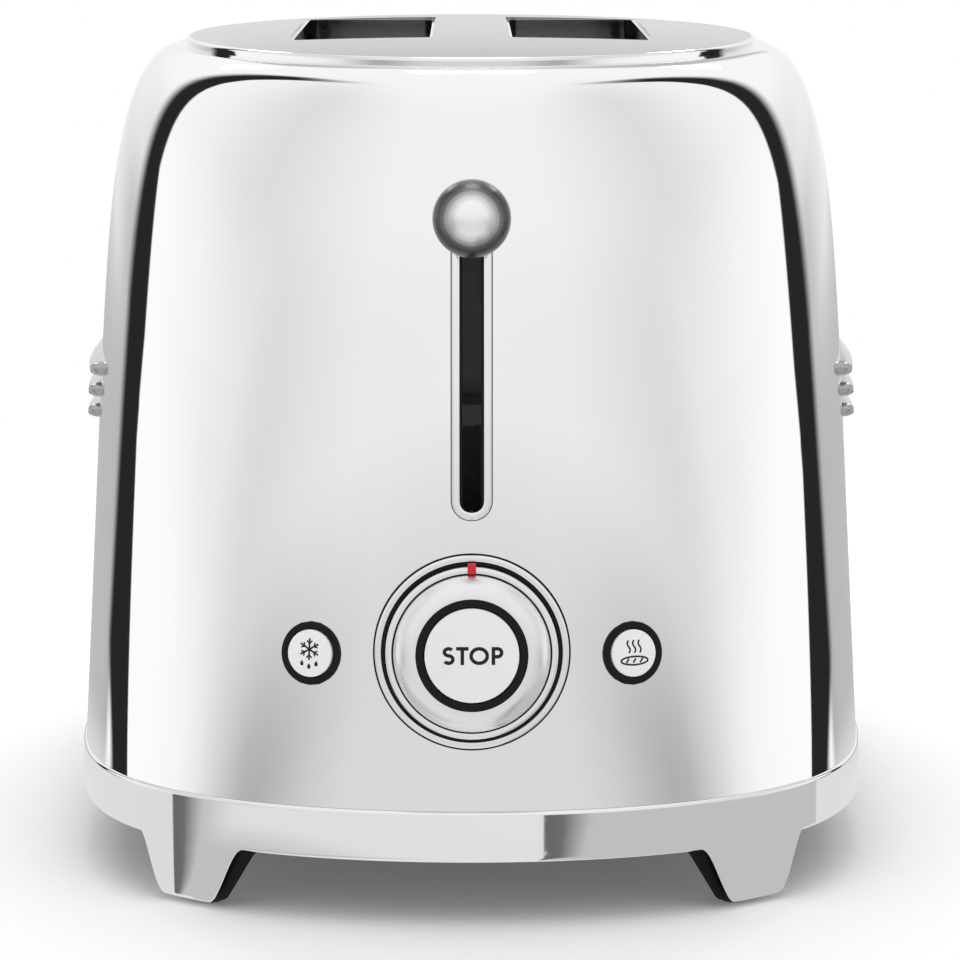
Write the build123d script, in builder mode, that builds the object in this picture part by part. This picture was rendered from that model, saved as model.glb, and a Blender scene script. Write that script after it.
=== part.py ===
from build123d import *
import os
from math import atan, cos, pi, sin, sqrt

# Two-slice toaster, end view forward. Sizes are in millimetres.
# X runs across the toaster, -Y points out of the control end, +Z is up, the feet stand on z = 0.
# The origin lies under the middle of the whole object's box, which the lever ball and tray pull set.

os.makedirs("parts", exist_ok=True)

# Overall form
body_width = 194.0
body_length = 310.0
skirt_top = 26.9
plate_seat = 194.3
ball_overhang = 15.0
tray_pull_depth = 4.0

# Body shell: one pressed sheet whose plan turns from a flat-sided oval at the foot to an ellipse at the top
shell_wall = 1.2
shell_step = 0.6
side_lean = 4.9
end_lean = 14.0
side_shoulder = 16.9
end_shoulder = 15.5
shoulder_power = 7.5
foot_flatness = 4.3
top_flatness = 2.0
flatness_power = 1.45

# Top plate
plate_margin = 2.0
plate_rim = 2.2
plate_crown = 2.0
plate_sheet = 1.0
plate_edge_radius = 0.9
deck_width = 5.5

# Bread slots and the cage around them
slot_width = 35.0
slot_length = 128.0
slot_offset = 27.0
slot_middle_y = 8.0
slot_corner = 3.0
liner_wall = 0.8
liner_top = 197.0
liner_bottom = 184.5
bulkhead_sheet = 1.0
bulkhead_half_width = 66.0
bulkhead_top = 184.0
bulkhead_gap = 4.0
leg_foot = 12.0
board_offset = 51.0
board_sheet = 0.8
board_bottom = 48.0
board_top = 158.0
tab_height = 9.0
ribbon_sheet = 0.3
ribbon_width = 1.6
ribbon_pitch = 9.0
ribbon_count = 12
reflector_offset = 57.0
reflector_sheet = 0.6
rack_spread = 17.0
rack_wire = 0.8
rack_pivot = 40.0
rack_top = 166.0
rack_swing = 9.7
rack_wire_count = 9
rack_wire_pitch = 15.0

# Base
skirt_wall = 3.0
arch_top = 15.0
foot_bottom = 1.5
front_arch_half = 53.0
side_arch_half = 123.0
arch_slope_front = 8.0
arch_slope_side = 6.6
arch_radius = 5.0
foot_radius = 3.0
pan_step = 0.6
pan_sheet = 2.5
pan_clearance = 0.3
core_inset_x = 3.7
core_setback_y = 2.0
core_step = 0.3
core_wall = 2.2
pad_radius = 2.8
pad_x = 61.0
pad_y = 128.6
pad_height = 3.2
pad_clearance = 0.1
vent_width = 3.0
vent_length = 28.0
vent_pitch = 12.0
vent_count = 12
lug_x = 30.0
lug_width = 12.0
lug_depth = 9.0
screw_radius = 1.25
screw_head_radius = 2.6

# Crumb tray
tray_half_width = 59.0
tray_floor = 27.5
tray_sheet = 0.8
tray_rim = 33.4
tray_front_y = -56.0
tray_rear_y = 129.0
tray_panel_wall = 2.5
tray_panel_clearance = 0.3
tray_slot_half_width = 62.6
tray_slot_top = 36.0
tray_pull_half_width = 22.0
rail_offset = 51.0
rail_width = 2.0

# Lever and carriage
lever_drop = 31.5
lever_travel = 64.0
ball_radius = 8.75
arm_thickness = 3.0
arm_height = 6.0
stud_radius = 2.0
lever_slot_width = 5.4
lever_frame_width = 9.0
lever_frame_proud = 0.9
lever_lip = 0.4
lever_guard_slit = 4.2
lifter_top = 120.0
lifter_height = 8.0
lifter_sheet = 1.2
lifter_clearance = 0.7
perch_count = 7
rod_radius = 2.5
rod_offset = 16.0
rod_ahead = 18.0
rod_top = 181.5
rod_bottom = 24.0
flange_sheet = 1.5
flange_depth = 27.0
running_gap = 0.05
carriage_gap = 3.0
carriage_sheet = 1.5
carriage_half_width = 36.0
carriage_height = 12.0
armature_height = 3.0
magnet_gap = 0.3
spring_radius = 3.6
spring_wire = 0.9
spring_turns = 12

# Browning knob, stop button and program buttons
knob_height = 63.3
knob_radius = 19.6
knob_bezel_radius = 22.1
knob_bezel_wall = 1.5
panel_gap = 0.4
knob_front = 8.5
knob_step = 3.9
knob_gap = 1.1
ring_radius = 12.75
stop_radius = 10.7
stop_gap = 0.25
stop_travel = 1.5
plunger_radius = 2.7
plunger_gap = 0.2
shaft_radius = 4.2
hub_radius = 7.0
control_board_depth = 34.0
button_height = 61.9
button_offset = 36.75
button_radius = 5.45
button_gap = 0.2
collar_radius = 7.25
collar_gap = 0.1
button_travel = 1.2

lever_height = plate_seat - lever_drop
front_reach = body_length / 2 + ball_overhang
rear_reach = body_length / 2 + tray_pull_depth
mid_y = (front_reach - rear_reach) / 2

# Sketch planes through the body's own middle: seen from above, from the front and from the right
plan = Plane(origin=(0, mid_y, 0), x_dir=(1, 0, 0), z_dir=(0, 0, 1))
front_view = Plane(origin=(0, mid_y, 0), x_dir=(1, 0, 0), z_dir=(0, -1, 0))
side_view = Plane(origin=(0, mid_y, 0), x_dir=(0, 1, 0), z_dir=(1, 0, 0))


def oval_points(half_width, half_length, flatness):
    """Points of the closed plan curve (x / half_width)^2 + |y / half_length|^flatness = 1."""
    steps = 10
    quarter = []
    for step in range(steps):
        angle = pi / 2 * (step / steps) ** 1.6
        quarter.append((half_width * cos(angle), half_length * sin(angle) ** (2 / flatness)))
    back = quarter[:0:-1]
    return (
        quarter
        + [(0, half_length)]
        + [(-x, y) for x, y in back]
        + [(-x, -y) for x, y in quarter]
        + [(0, -half_length)]
        + [(x, -y) for x, y in back]
    )


def knot_places(points):
    """Shares of the way round at which a closed curve passes its points."""
    ring = points + points[:1]
    steps = [sqrt((b[0] - a[0]) ** 2 + (b[1] - a[1]) ** 2) for a, b in zip(ring, ring[1:])]
    return [sum(steps[:count]) / sum(steps) for count in range(len(ring))]


shared_knots = knot_places(oval_points(body_width / 2, body_length / 2, 3.0))


def oval_edge(half_width, half_length, flatness):
    """The closed plan curve as one smooth edge; every section shares its knots so that lofts stay light."""
    points = [Vector(x, y) for x, y in oval_points(half_width, half_length, flatness)]
    return Edge.make_spline(points, periodic=True, parameters=shared_knots)


def body_size(rise):
    """Half width, half length and flatness of the body's plan at a share of its height."""
    shoulder = 1 - sqrt(1 - rise**shoulder_power)
    half_width = body_width / 2 - shell_step - side_lean * rise - side_shoulder * shoulder
    half_length = body_length / 2 - shell_step - end_lean * rise - end_shoulder * shoulder
    flatness = top_flatness + (foot_flatness - top_flatness) * (1 - rise) ** flatness_power
    return half_width, half_length, flatness


def body_form(grow, below=0.0):
    """The body's solid form, grown outwards by a distance, and carried straight down by another."""
    with BuildPart() as form:
        if below:
            half_width, half_length, flatness = body_size(0)
            with BuildSketch(plan.offset(skirt_top - below)):
                make_face(oval_edge(half_width + grow, half_length + grow, flatness))
            extrude(amount=below)
        for rises in ((0, 0.2, 0.4, 0.6), (0.6, 0.74, 0.84, 0.92), (0.92, 0.965, 0.99, 1)):
            for rise in rises:
                half_width, half_length, flatness = body_size(rise)
                with BuildSketch(plan.offset(skirt_top + rise * (plate_seat + grow - skirt_top))):
                    make_face(oval_edge(half_width + grow, half_length + grow, flatness))
            loft()
    return form.part


def face_reach(x, height):
    """How far ahead of the body's middle its outer face lies, at a place across and a height."""
    half_width, half_length, flatness = body_size((height - skirt_top) / (plate_seat - skirt_top))
    return half_length * (1 - (x / half_width) ** 2) ** (1 / flatness)


def face_plane(x, height):
    """A plane on the body's front face, looking out along its normal."""
    step = 0.5
    slope_x = (face_reach(x + step, height) - face_reach(x - step, height)) / (2 * step)
    slope_z = (face_reach(x, height + step) - face_reach(x, height - step)) / (2 * step)
    normal = Vector(-slope_x, -1, -slope_z).normalized()
    level = Vector(-normal.Y, normal.X, 0).normalized()
    return Plane(origin=(x, mid_y - face_reach(x, height), height), x_dir=level, z_dir=normal)


def turning_plane(plane):
    """The plane for a turned piece's half outline: across is radius, up is along the plane's normal."""
    return Plane(origin=plane.origin, x_dir=plane.x_dir, z_dir=-plane.y_dir)


outer_form = body_form(0)
inner_form = body_form(-shell_wall, below=2.0)
deck_half_width, deck_half_length, deck_flatness = body_size(1)
plate_half_width = deck_half_width - plate_margin
plate_half_length = deck_half_length - plate_margin
panel = face_plane(0, knob_height)
panel_axis = Axis(panel.origin, panel.z_dir)
button_planes = {
    "defrost": face_plane(-button_offset, button_height),
    "reheat": face_plane(button_offset, button_height),
}
lever_slot_bottom = lever_height - lever_travel - arm_height / 2 - 0.7
lever_slot_top = lever_height + arm_height / 2 + 1.7
lever_slot_middle = (lever_slot_bottom + lever_slot_top) / 2
lever_slot_length = lever_slot_top - lever_slot_bottom
frame_border = (lever_frame_width - lever_slot_width) / 2
slot_front_y = slot_middle_y - slot_length / 2
slot_rear_y = slot_middle_y + slot_length / 2
bulkhead_front_y = slot_front_y - bulkhead_gap
bulkhead_rear_y = slot_rear_y + bulkhead_gap
pan_bottom = arch_top + pan_step
pan_top = pan_bottom + pan_sheet
skirt_inner_width = body_width / 2 - skirt_wall
skirt_inner_length = body_length / 2 - skirt_wall


def oval_face(half_width, half_length):
    """A filled plan outline of the base, for use inside a sketch."""
    return make_face(oval_edge(half_width, half_length, foot_flatness))


def bar(across, along, up, mode=Mode.ADD):
    """A straight block from its two limits across, along the body's length and upwards."""
    middle = ((across[0] + across[1]) / 2, mid_y + (along[0] + along[1]) / 2, (up[0] + up[1]) / 2)
    with Locations(middle):
        return Box(across[1] - across[0], along[1] - along[0], up[1] - up[0], mode=mode)


def finish(piece, name):
    """Name a finished piece and write it."""
    piece.part.label = name
    export_step(piece.part, f"parts/{name}.step")


# Base skirt: a chromed ring with a foot drawn down at each corner
def arch_outline(half, slope, far, top=arch_top):
    """Inside a sketch: all that lies between two feet and below them, with rounded roots and toes."""
    with BuildLine() as outline:
        Polyline(
            (-far, -foot_radius),
            (-far, foot_bottom),
            (-half - slope, foot_bottom),
            (-half, top),
            (half, top),
            (half + slope, foot_bottom),
            (far, foot_bottom),
            (far, -foot_radius),
            close=True,
        )
    make_face(outline.edges())
    fillet(vertices().group_by(Axis.Y)[-1], arch_radius)
    fillet([v for v in vertices() if abs(v.Y - foot_bottom) < 0.01 and abs(v.X) < far - 1], foot_radius)


lug_y = face_reach(lug_x, skirt_top) - skirt_wall - lug_depth / 2
gland_height = (arch_top + skirt_top) / 2 + 0.2
gland_radius = 4.6
gland_bore = 3.4
gland_flange = 5.9
gland_clearance = 0.1

with BuildPart() as lug_form:
    with BuildSketch(plan.offset(pan_top)):
        oval_face(skirt_inner_width + 0.5, skirt_inner_length + 0.5)
    extrude(amount=skirt_top - pan_top - 1.5)
    with BuildSketch(plan.offset(pan_top)):
        with GridLocations(2 * lug_x, 2 * lug_y, 2, 2):
            Rectangle(lug_width, lug_depth + 8)
    extrude(amount=skirt_top - pan_top - 1.5, mode=Mode.INTERSECT)
    with BuildSketch(plan.offset(pan_top)):
        with GridLocations(2 * lug_x, 2 * lug_y, 2, 2):
            Circle(screw_radius + running_gap)
    extrude(amount=skirt_top - pan_top - 3, mode=Mode.SUBTRACT)

with BuildPart() as base_skirt:
    with BuildSketch(plan):
        oval_face(body_width / 2, body_length / 2)
    extrude(amount=skirt_top)
    fillet(edges().group_by(Axis.Z)[-1], 0.8)
    with BuildSketch(plan):
        oval_face(skirt_inner_width, skirt_inner_length)
    extrude(amount=skirt_top, mode=Mode.SUBTRACT)
    with BuildSketch(front_view):
        arch_outline(front_arch_half, arch_slope_front, body_width)
    extrude(amount=body_length, both=True, mode=Mode.SUBTRACT)
    with BuildSketch(side_view):
        arch_outline(side_arch_half, arch_slope_side, body_length)
    extrude(amount=body_width, both=True, mode=Mode.SUBTRACT)
    add(lug_form.part)
    with BuildSketch(front_view):
        with Locations((0, gland_height)):
            Circle(gland_radius + gland_clearance)
    extrude(amount=-body_length, mode=Mode.SUBTRACT)
finish(base_skirt, "base_skirt")

# Black base pan: vented floor, four foot cores, two tray rails and the posts that carry the control board
board_post_x = 42.0
panel_lean = atan(panel.z_dir.Z / -panel.z_dir.Y)
board_foot_y = panel.origin.Y - mid_y + control_board_depth * cos(panel_lean) - 28 * sin(panel_lean)
board_foot_z = knob_height - control_board_depth * sin(panel_lean) - 28 * cos(panel_lean)
with BuildPart() as base_pan:
    with BuildSketch(plan.offset(foot_bottom + core_step)):
        oval_face(skirt_inner_width - pan_clearance, skirt_inner_length - pan_clearance)
    extrude(amount=pan_top - foot_bottom - core_step)
    core_x = front_arch_half - core_inset_x
    core_y = side_arch_half + core_setback_y
    with BuildSketch(front_view):
        arch_outline(core_x, arch_slope_front, body_width, pan_bottom)
    extrude(amount=body_length, both=True, mode=Mode.SUBTRACT)
    bar((-body_width, body_width), (-core_y, core_y), (0, pan_bottom), mode=Mode.SUBTRACT)
    with BuildSketch(plan.offset(pan_top)):
        oval_face(skirt_inner_width - pan_clearance - core_wall, skirt_inner_length - pan_clearance - core_wall)
        Rectangle(2 * (core_x + arch_slope_front + core_wall), 2 * body_length, mode=Mode.SUBTRACT)
        Rectangle(2 * body_width, 2 * (core_y + core_wall), mode=Mode.SUBTRACT)
    extrude(amount=-(pan_top - pad_height - 2), mode=Mode.SUBTRACT)
    with BuildSketch(plan):
        with GridLocations(2 * pad_x, 2 * pad_y, 2, 2):
            Circle(pad_radius + pad_clearance)
    extrude(amount=pad_height, mode=Mode.SUBTRACT)
    with BuildSketch(plan.offset(pan_bottom)):
        with GridLocations(0, vent_pitch, 1, vent_count):
            SlotOverall(2 * vent_length, vent_width)
        with GridLocations(2 * lug_x, 2 * lug_y, 2, 2):
            Circle(screw_radius + 0.3)
    extrude(amount=pan_sheet, mode=Mode.SUBTRACT)
    for side in (-1, 1):
        rail = side * rail_offset
        bar((rail - rail_width / 2, rail + rail_width / 2), (tray_front_y, tray_rear_y - 6), (pan_top, tray_floor))
        post = side * board_post_x
        bar((post - 4, post + 4), (board_foot_y - 5, board_foot_y + 5), (pan_top, board_foot_z - 1.5))
    with BuildSketch(front_view.offset(6.5 - skirt_inner_length)):
        with Locations((0, gland_height)):
            Circle(gland_flange + 0.4)
    extrude(amount=-12, mode=Mode.SUBTRACT)
finish(base_pan, "base_pan")

with BuildPart() as foot_pads:
    with BuildSketch(plan):
        with GridLocations(2 * pad_x, 2 * pad_y, 2, 2):
            Circle(pad_radius)
    extrude(amount=pad_height)
    chamfer(edges().group_by(Axis.Z)[0], 0.4)
finish(foot_pads, "foot_pads")

with BuildPart() as base_screws:
    with BuildSketch(plan.offset(pan_bottom)):
        with GridLocations(2 * lug_x, 2 * lug_y, 2, 2):
            Circle(screw_head_radius)
    extrude(amount=-1.6)
    fillet(edges().group_by(Axis.Z)[0], 0.7)
    with BuildSketch(plan.offset(pan_bottom - 1.6)):
        with GridLocations(2 * lug_x, 2 * lug_y, 2, 2):
            Rectangle(3.2, 0.7)
            Rectangle(0.7, 3.2)
    extrude(amount=0.8, mode=Mode.SUBTRACT)
    with BuildSketch(plan.offset(pan_bottom)):
        with GridLocations(2 * lug_x, 2 * lug_y, 2, 2):
            Circle(screw_radius)
    extrude(amount=skirt_top - 4 - pan_bottom)
finish(base_screws, "base_screws")

# Body shell with its openings
with BuildPart() as body_shell:
    add(outer_form)
    add(inner_form, mode=Mode.SUBTRACT)
    with BuildSketch(plan.offset(plate_seat + 1)):
        Ellipse(deck_half_width - deck_width, deck_half_length - deck_width)
    extrude(amount=-shell_wall - 3, mode=Mode.SUBTRACT)
    with BuildSketch(front_view.offset(100)):
        with Locations((0, lever_slot_middle)):
            RectangleRounded(lever_slot_width + 2 * lever_lip, lever_slot_length + 2 * lever_lip, 1.2)
    extrude(amount=100, mode=Mode.SUBTRACT)
    with BuildSketch(panel.offset(-12)):
        Circle(knob_bezel_radius + panel_gap)
    extrude(amount=20, mode=Mode.SUBTRACT)
    for plane in button_planes.values():
        with BuildSketch(plane.offset(-6)):
            Circle(collar_radius + collar_gap)
        extrude(amount=10, mode=Mode.SUBTRACT)
    bar(
        (-tray_slot_half_width, tray_slot_half_width),
        (body_length / 4, body_length),
        (skirt_top - 5, tray_slot_top),
        mode=Mode.SUBTRACT,
    )
finish(body_shell, "body_shell")

# Top plate: a shallow crowned oval lid with a turned-down rim
rim_top = plate_seat + plate_rim
crown_half_width = plate_half_width - plate_edge_radius - 0.1
crown_half_length = plate_half_length - plate_edge_radius - 0.1
with BuildPart() as plate_crown_form:
    for shares in ((0, 0.25, 0.5, 0.75), (0.75, 0.9, 0.98)):
        for share in shares:
            with BuildSketch(plan.offset(rim_top + plate_crown * share)):
                fall = sqrt(1 - share)
                Ellipse(crown_half_width * fall, crown_half_length * fall)
        loft()
    with BuildSketch(plan.offset(rim_top)):
        Ellipse(crown_half_width, crown_half_length)
    extrude(amount=-0.3)
with BuildPart() as top_plate:
    with BuildSketch(plan.offset(plate_seat)):
        Ellipse(plate_half_width, plate_half_length)
    extrude(amount=plate_rim)
    fillet(edges().group_by(Axis.Z)[-1], plate_edge_radius)
    add(plate_crown_form.part)
    with BuildSketch(plan.offset(plate_seat)):
        Ellipse(plate_half_width - 1.6, plate_half_length - 1.6)
    extrude(amount=plate_rim - plate_sheet, mode=Mode.SUBTRACT)
    with BuildSketch(plan.offset(plate_seat - 5)):
        with Locations((-slot_offset, slot_middle_y), (slot_offset, slot_middle_y)):
            RectangleRounded(slot_width, slot_length, slot_corner)
    extrude(amount=plate_rim + plate_crown + 10, mode=Mode.SUBTRACT)
finish(top_plate, "top_plate")

for side, middle in (("left", -slot_offset), ("right", slot_offset)):
    with BuildPart() as slot_liner:
        with BuildSketch(plan.offset(liner_bottom)):
            with Locations((middle, slot_middle_y)):
                RectangleRounded(slot_width, slot_length, slot_corner)
                RectangleRounded(
                    slot_width - 2 * liner_wall,
                    slot_length - 2 * liner_wall,
                    slot_corner - liner_wall,
                    mode=Mode.SUBTRACT,
                )
        extrude(amount=liner_top - liner_bottom)
    finish(slot_liner, f"slot_liner_{side}")

# Side trims: three plain raised bars on each flank
trim_height = (skirt_top + plate_seat) / 2 - 1.1
trim_pitch = 6.2
trim_form = body_form(3.0)
for side, sign in (("left", -1), ("right", 1)):
    with BuildPart() as side_trim:
        add(trim_form)
        add(outer_form, mode=Mode.SUBTRACT)
        with BuildPart(mode=Mode.INTERSECT):
            with BuildSketch(side_view):
                for step, half in ((-1, 34), (0, 42), (1, 50)):
                    with Locations((0, trim_height + trim_pitch * step)):
                        RectangleRounded(2 * half, 3.4, 1.2)
            extrude(amount=sign * body_width)
    finish(side_trim, f"side_trim_{side}")

# Lever slot: a raised frame that follows the face, and a black guard behind it
frame_form = body_form(lever_frame_proud)
guard_form = body_form(-tray_panel_wall)
with BuildPart() as lever_frame:
    add(frame_form)
    add(inner_form, mode=Mode.SUBTRACT)
    with BuildPart(mode=Mode.INTERSECT):
        with BuildSketch(front_view.offset(100)):
            with Locations((0, lever_slot_middle)):
                RectangleRounded(lever_frame_width, lever_slot_length + 2 * frame_border, 1.6)
                RectangleRounded(lever_slot_width, lever_slot_length, 0.8, mode=Mode.SUBTRACT)
        extrude(amount=100)
    with BuildPart(mode=Mode.SUBTRACT):
        add(outer_form)
        with BuildSketch(front_view.offset(100)):
            with Locations((0, lever_slot_middle)):
                RectangleRounded(lever_slot_width + 2 * lever_lip - 0.1, lever_slot_length + 2 * lever_lip - 0.1, 1.15)
        extrude(amount=100, mode=Mode.SUBTRACT)
finish(lever_frame, "lever_frame")

with BuildPart() as lever_guard:
    add(inner_form)
    add(guard_form, mode=Mode.SUBTRACT)
    with BuildPart(mode=Mode.INTERSECT):
        with BuildSketch(front_view.offset(100)):
            with Locations((0, lever_slot_middle)):
                RectangleRounded(lever_slot_width + 12, lever_slot_length + 12, 3)
                Rectangle(lever_guard_slit, lever_slot_length + 1, mode=Mode.SUBTRACT)
        extrude(amount=100)
finish(lever_guard, "lever_guard")


# Cage: two bulkheads, reflectors, heater boards and their ribbons
lifter_bottom = lifter_top - lifter_height
lifter_slot_low = lifter_bottom - lever_travel - 1.5
lifter_slot_high = lifter_top + 1.5
tab_heights = (board_bottom + 12, board_top - 12)
board_places = {"left": -board_offset, "center": 0.0, "right": board_offset}
rack_places = {
    "left_outer": (-slot_offset - rack_spread, 1),
    "left_inner": (-slot_offset + rack_spread, -1),
    "right_inner": (slot_offset - rack_spread, 1),
    "right_outer": (slot_offset + rack_spread, -1),
}


def bulkhead_outline():
    """Inside a sketch: one cage wall with its tray notch and every slot and hole it guides."""
    middle = (pan_top + bulkhead_top) / 2
    with Locations((0, middle)):
        Rectangle(2 * bulkhead_half_width, bulkhead_top - pan_top)
    with Locations((0, pan_top)):
        Rectangle(2 * (tray_half_width + 1.5), 2 * (tray_rim + 1.6 - pan_top), mode=Mode.SUBTRACT)
    for place in (-slot_offset, slot_offset):
        with Locations((place, (lifter_slot_low + lifter_slot_high) / 2)):
            RectangleRounded(
                lifter_sheet + 2 * lifter_clearance, lifter_slot_high - lifter_slot_low, 1.2, mode=Mode.SUBTRACT
            )
    for place in board_places.values():
        for height in tab_heights:
            with Locations((place, height)):
                Rectangle(board_sheet + 0.2, tab_height + 0.4, mode=Mode.SUBTRACT)
    for place, inward in rack_places.values():
        with Locations((place, rack_pivot)):
            Circle(rack_wire + running_gap, mode=Mode.SUBTRACT)
        with Locations((place + inward * rack_swing / 2, rack_top)):
            RectangleRounded(rack_swing + 2 * rack_wire + 1.6, 2 * rack_wire + 1.6, 1.2, mode=Mode.SUBTRACT)


rod_y = bulkhead_front_y - rod_ahead
with BuildPart() as front_bulkhead:
    with BuildSketch(front_view.offset(-bulkhead_front_y)):
        bulkhead_outline()
    extrude(amount=bulkhead_sheet)
    sheet_front = bulkhead_front_y - bulkhead_sheet
    flange_front = sheet_front - flange_depth
    bar((-24, 24), (flange_front, sheet_front), (rod_bottom, rod_bottom + flange_sheet))
    bar((-30, 24), (flange_front, sheet_front), (rod_top - flange_sheet, rod_top))
    bar((-24, 24), (sheet_front - 1, sheet_front), (rod_bottom, tray_rim + 3))
    for foot in ((-bulkhead_half_width, -bulkhead_half_width + 5), (bulkhead_half_width - 5, bulkhead_half_width)):
        bar(foot, (sheet_front - leg_foot, sheet_front), (pan_top, pan_top + 1))
    with BuildSketch(plan.offset(rod_bottom)):
        with Locations((-rod_offset, rod_y), (rod_offset, rod_y)):
            Circle(rod_radius)
    extrude(amount=bulkhead_top - rod_bottom, mode=Mode.SUBTRACT)
finish(front_bulkhead, "front_bulkhead")

with BuildPart() as rear_bulkhead:
    with BuildSketch(front_view.offset(-bulkhead_rear_y)):
        bulkhead_outline()
    extrude(amount=-bulkhead_sheet)
    sheet_rear = bulkhead_rear_y + bulkhead_sheet
    for foot in ((-bulkhead_half_width, -bulkhead_half_width + 5), (bulkhead_half_width - 5, bulkhead_half_width)):
        bar(foot, (sheet_rear, sheet_rear + leg_foot), (pan_top, pan_top + 1))
finish(rear_bulkhead, "rear_bulkhead")

for side, sign in (("left", -1), ("right", 1)):
    with BuildPart() as reflector:
        inner = sign * reflector_offset
        outer = sign * (reflector_offset + reflector_sheet)
        bar(sorted((inner, outer)), (bulkhead_front_y, bulkhead_rear_y), (rack_pivot - 2, bulkhead_top - 2))
        for height in (rack_pivot - 2, bulkhead_top - 2 - reflector_sheet):
            lip = sign * (reflector_offset - 3)
            bar(sorted((lip, inner)), (bulkhead_front_y, bulkhead_rear_y), (height, height + reflector_sheet))
    finish(reflector, f"reflector_{side}")

board_front_y = slot_front_y + 3
board_rear_y = slot_rear_y - 3
for side, place in board_places.items():
    with BuildPart() as heater_board:
        sheet = (place - board_sheet / 2, place + board_sheet / 2)
        bar(sheet, (board_front_y, board_rear_y), (board_bottom, board_top))
        for height in tab_heights:
            reach = (bulkhead_front_y - bulkhead_sheet - 1, bulkhead_rear_y + bulkhead_sheet + 1)
            bar(sheet, reach, (height - tab_height / 2, height + tab_height / 2))
    finish(heater_board, f"heater_board_{side}")
    with BuildPart() as heater_ribbon:
        wrap = board_sheet / 2 + ribbon_sheet
        start = (board_bottom + board_top) / 2 - ribbon_pitch * (ribbon_count - 1) / 2
        for turn in range(ribbon_count):
            low = start + ribbon_pitch * turn - ribbon_width / 2
            bar((place - wrap, place + wrap), (board_front_y - 0.3, board_rear_y + 0.3), (low, low + ribbon_width))
        for end in (board_front_y + 2, board_rear_y - 4):
            bar((place - wrap, place + wrap), (end, end + 2), (start, start + ribbon_pitch * (ribbon_count - 1)))
        bar(
            (place - board_sheet / 2, place + board_sheet / 2),
            (board_front_y, board_rear_y),
            (board_bottom - 1, board_top + 1),
            mode=Mode.SUBTRACT,
        )
        for height in tab_heights:
            bar(
                (place - board_sheet / 2, place + board_sheet / 2),
                (bulkhead_front_y, bulkhead_rear_y),
                (height - tab_height / 2, height + tab_height / 2),
                mode=Mode.SUBTRACT,
            )
    finish(heater_ribbon, f"heater_ribbon_{side}")

# Bread racks: wire frames that lean in on their bottom rods as the lever goes down
for name, (place, inward) in rack_places.items():
    with BuildPart() as rack:
        for height in (rack_pivot, rack_top):
            with BuildSketch(front_view.offset(bulkhead_sheet + 1.2 - bulkhead_front_y)):
                with Locations((place, height)):
                    Circle(rack_wire)
            extrude(amount=-(bulkhead_rear_y - bulkhead_front_y + 2 * bulkhead_sheet + 2.4))
        with BuildSketch(plan.offset(rack_pivot)):
            with Locations((place, slot_middle_y)):
                with GridLocations(0, rack_wire_pitch, 1, rack_wire_count):
                    Circle(rack_wire - 0.1)
        extrude(amount=rack_top - rack_pivot)
    finish(rack, f"rack_{name}")

# Lever carriage: guide rods, bracket, two lifter bars, armature, magnet and return spring
with BuildPart() as guide_rods:
    with BuildSketch(plan.offset(rod_bottom)):
        with Locations((-rod_offset, rod_y), (rod_offset, rod_y)):
            Circle(rod_radius)
    extrude(amount=rod_top - rod_bottom)
finish(guide_rods, "guide_rods")

plate_back = bulkhead_front_y - bulkhead_sheet - carriage_gap
plate_front = plate_back - carriage_sheet
carriage_low = lifter_top - 10
carriage_high = carriage_low + carriage_height
bush_radius = rod_radius + 1.7
riser_half = 6.0
riser_front = plate_front - 2
tongue = (carriage_low, carriage_low + 2)
with BuildPart() as carriage:
    bar((-carriage_half_width, carriage_half_width), (plate_front, plate_back), (carriage_low, carriage_high))
    bar((-riser_half, riser_half), (riser_front, plate_back), (carriage_low, lever_height + 5))
    for side in (-1, 1):
        bar((side * rod_offset - 3, side * rod_offset + 3), (rod_y, plate_front), (carriage_low, carriage_high))
    bar((-8, 8), (rod_y - 12, plate_front), tongue)
    with BuildSketch(plan.offset(carriage_low)):
        with Locations((-rod_offset, rod_y), (rod_offset, rod_y)):
            Circle(bush_radius)
    extrude(amount=carriage_height + 4)
    with BuildSketch(plan.offset(carriage_low - 1)):
        with Locations((-rod_offset, rod_y), (rod_offset, rod_y)):
            Circle(rod_radius + running_gap)
    extrude(amount=carriage_height + 6, mode=Mode.SUBTRACT)
finish(carriage, "carriage")

lifter_reach = (plate_back, bulkhead_rear_y + bulkhead_sheet + 4)
for side, place in (("left", -slot_offset), ("right", slot_offset)):
    with BuildPart() as lifter:
        bar((place - lifter_sheet / 2, place + lifter_sheet / 2), lifter_reach, (lifter_bottom, lifter_top))
        with BuildSketch(plan.offset(lifter_top)):
            with Locations((place, slot_middle_y)):
                with GridLocations(0, slot_length / (perch_count + 0.5), 1, perch_count):
                    SlotOverall(18, 6)
        extrude(amount=-1)
    finish(lifter, f"lifter_{side}")

armature_top = carriage_low
with BuildPart() as armature:
    bar((-9, 9), (rod_y - 12, rod_y + 4), (armature_top - armature_height, armature_top))
finish(armature, "armature")

magnet_top = armature_top - armature_height - lever_travel - magnet_gap
with BuildPart() as magnet:
    bar((-9, 9), (rod_y - 10, rod_y + 2), (rod_bottom + flange_sheet, magnet_top))
    for side in (-1, 1):
        window = sorted((side * 3, side * 6.5))
        bar(window, (rod_y - 10, rod_y + 2), (rod_bottom + flange_sheet + 3, magnet_top), mode=Mode.SUBTRACT)
finish(magnet, "magnet")
with BuildPart() as magnet_coil:
    low = rod_bottom + flange_sheet + 3
    bar((-6.3, 6.3), (rod_y - 12, rod_y + 4), (low + 0.2, magnet_top - 1))
    bar((-3.1, 3.1), (rod_y - 10.1, rod_y + 2.1), (low, magnet_top), mode=Mode.SUBTRACT)
finish(magnet_coil, "magnet_coil")

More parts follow.
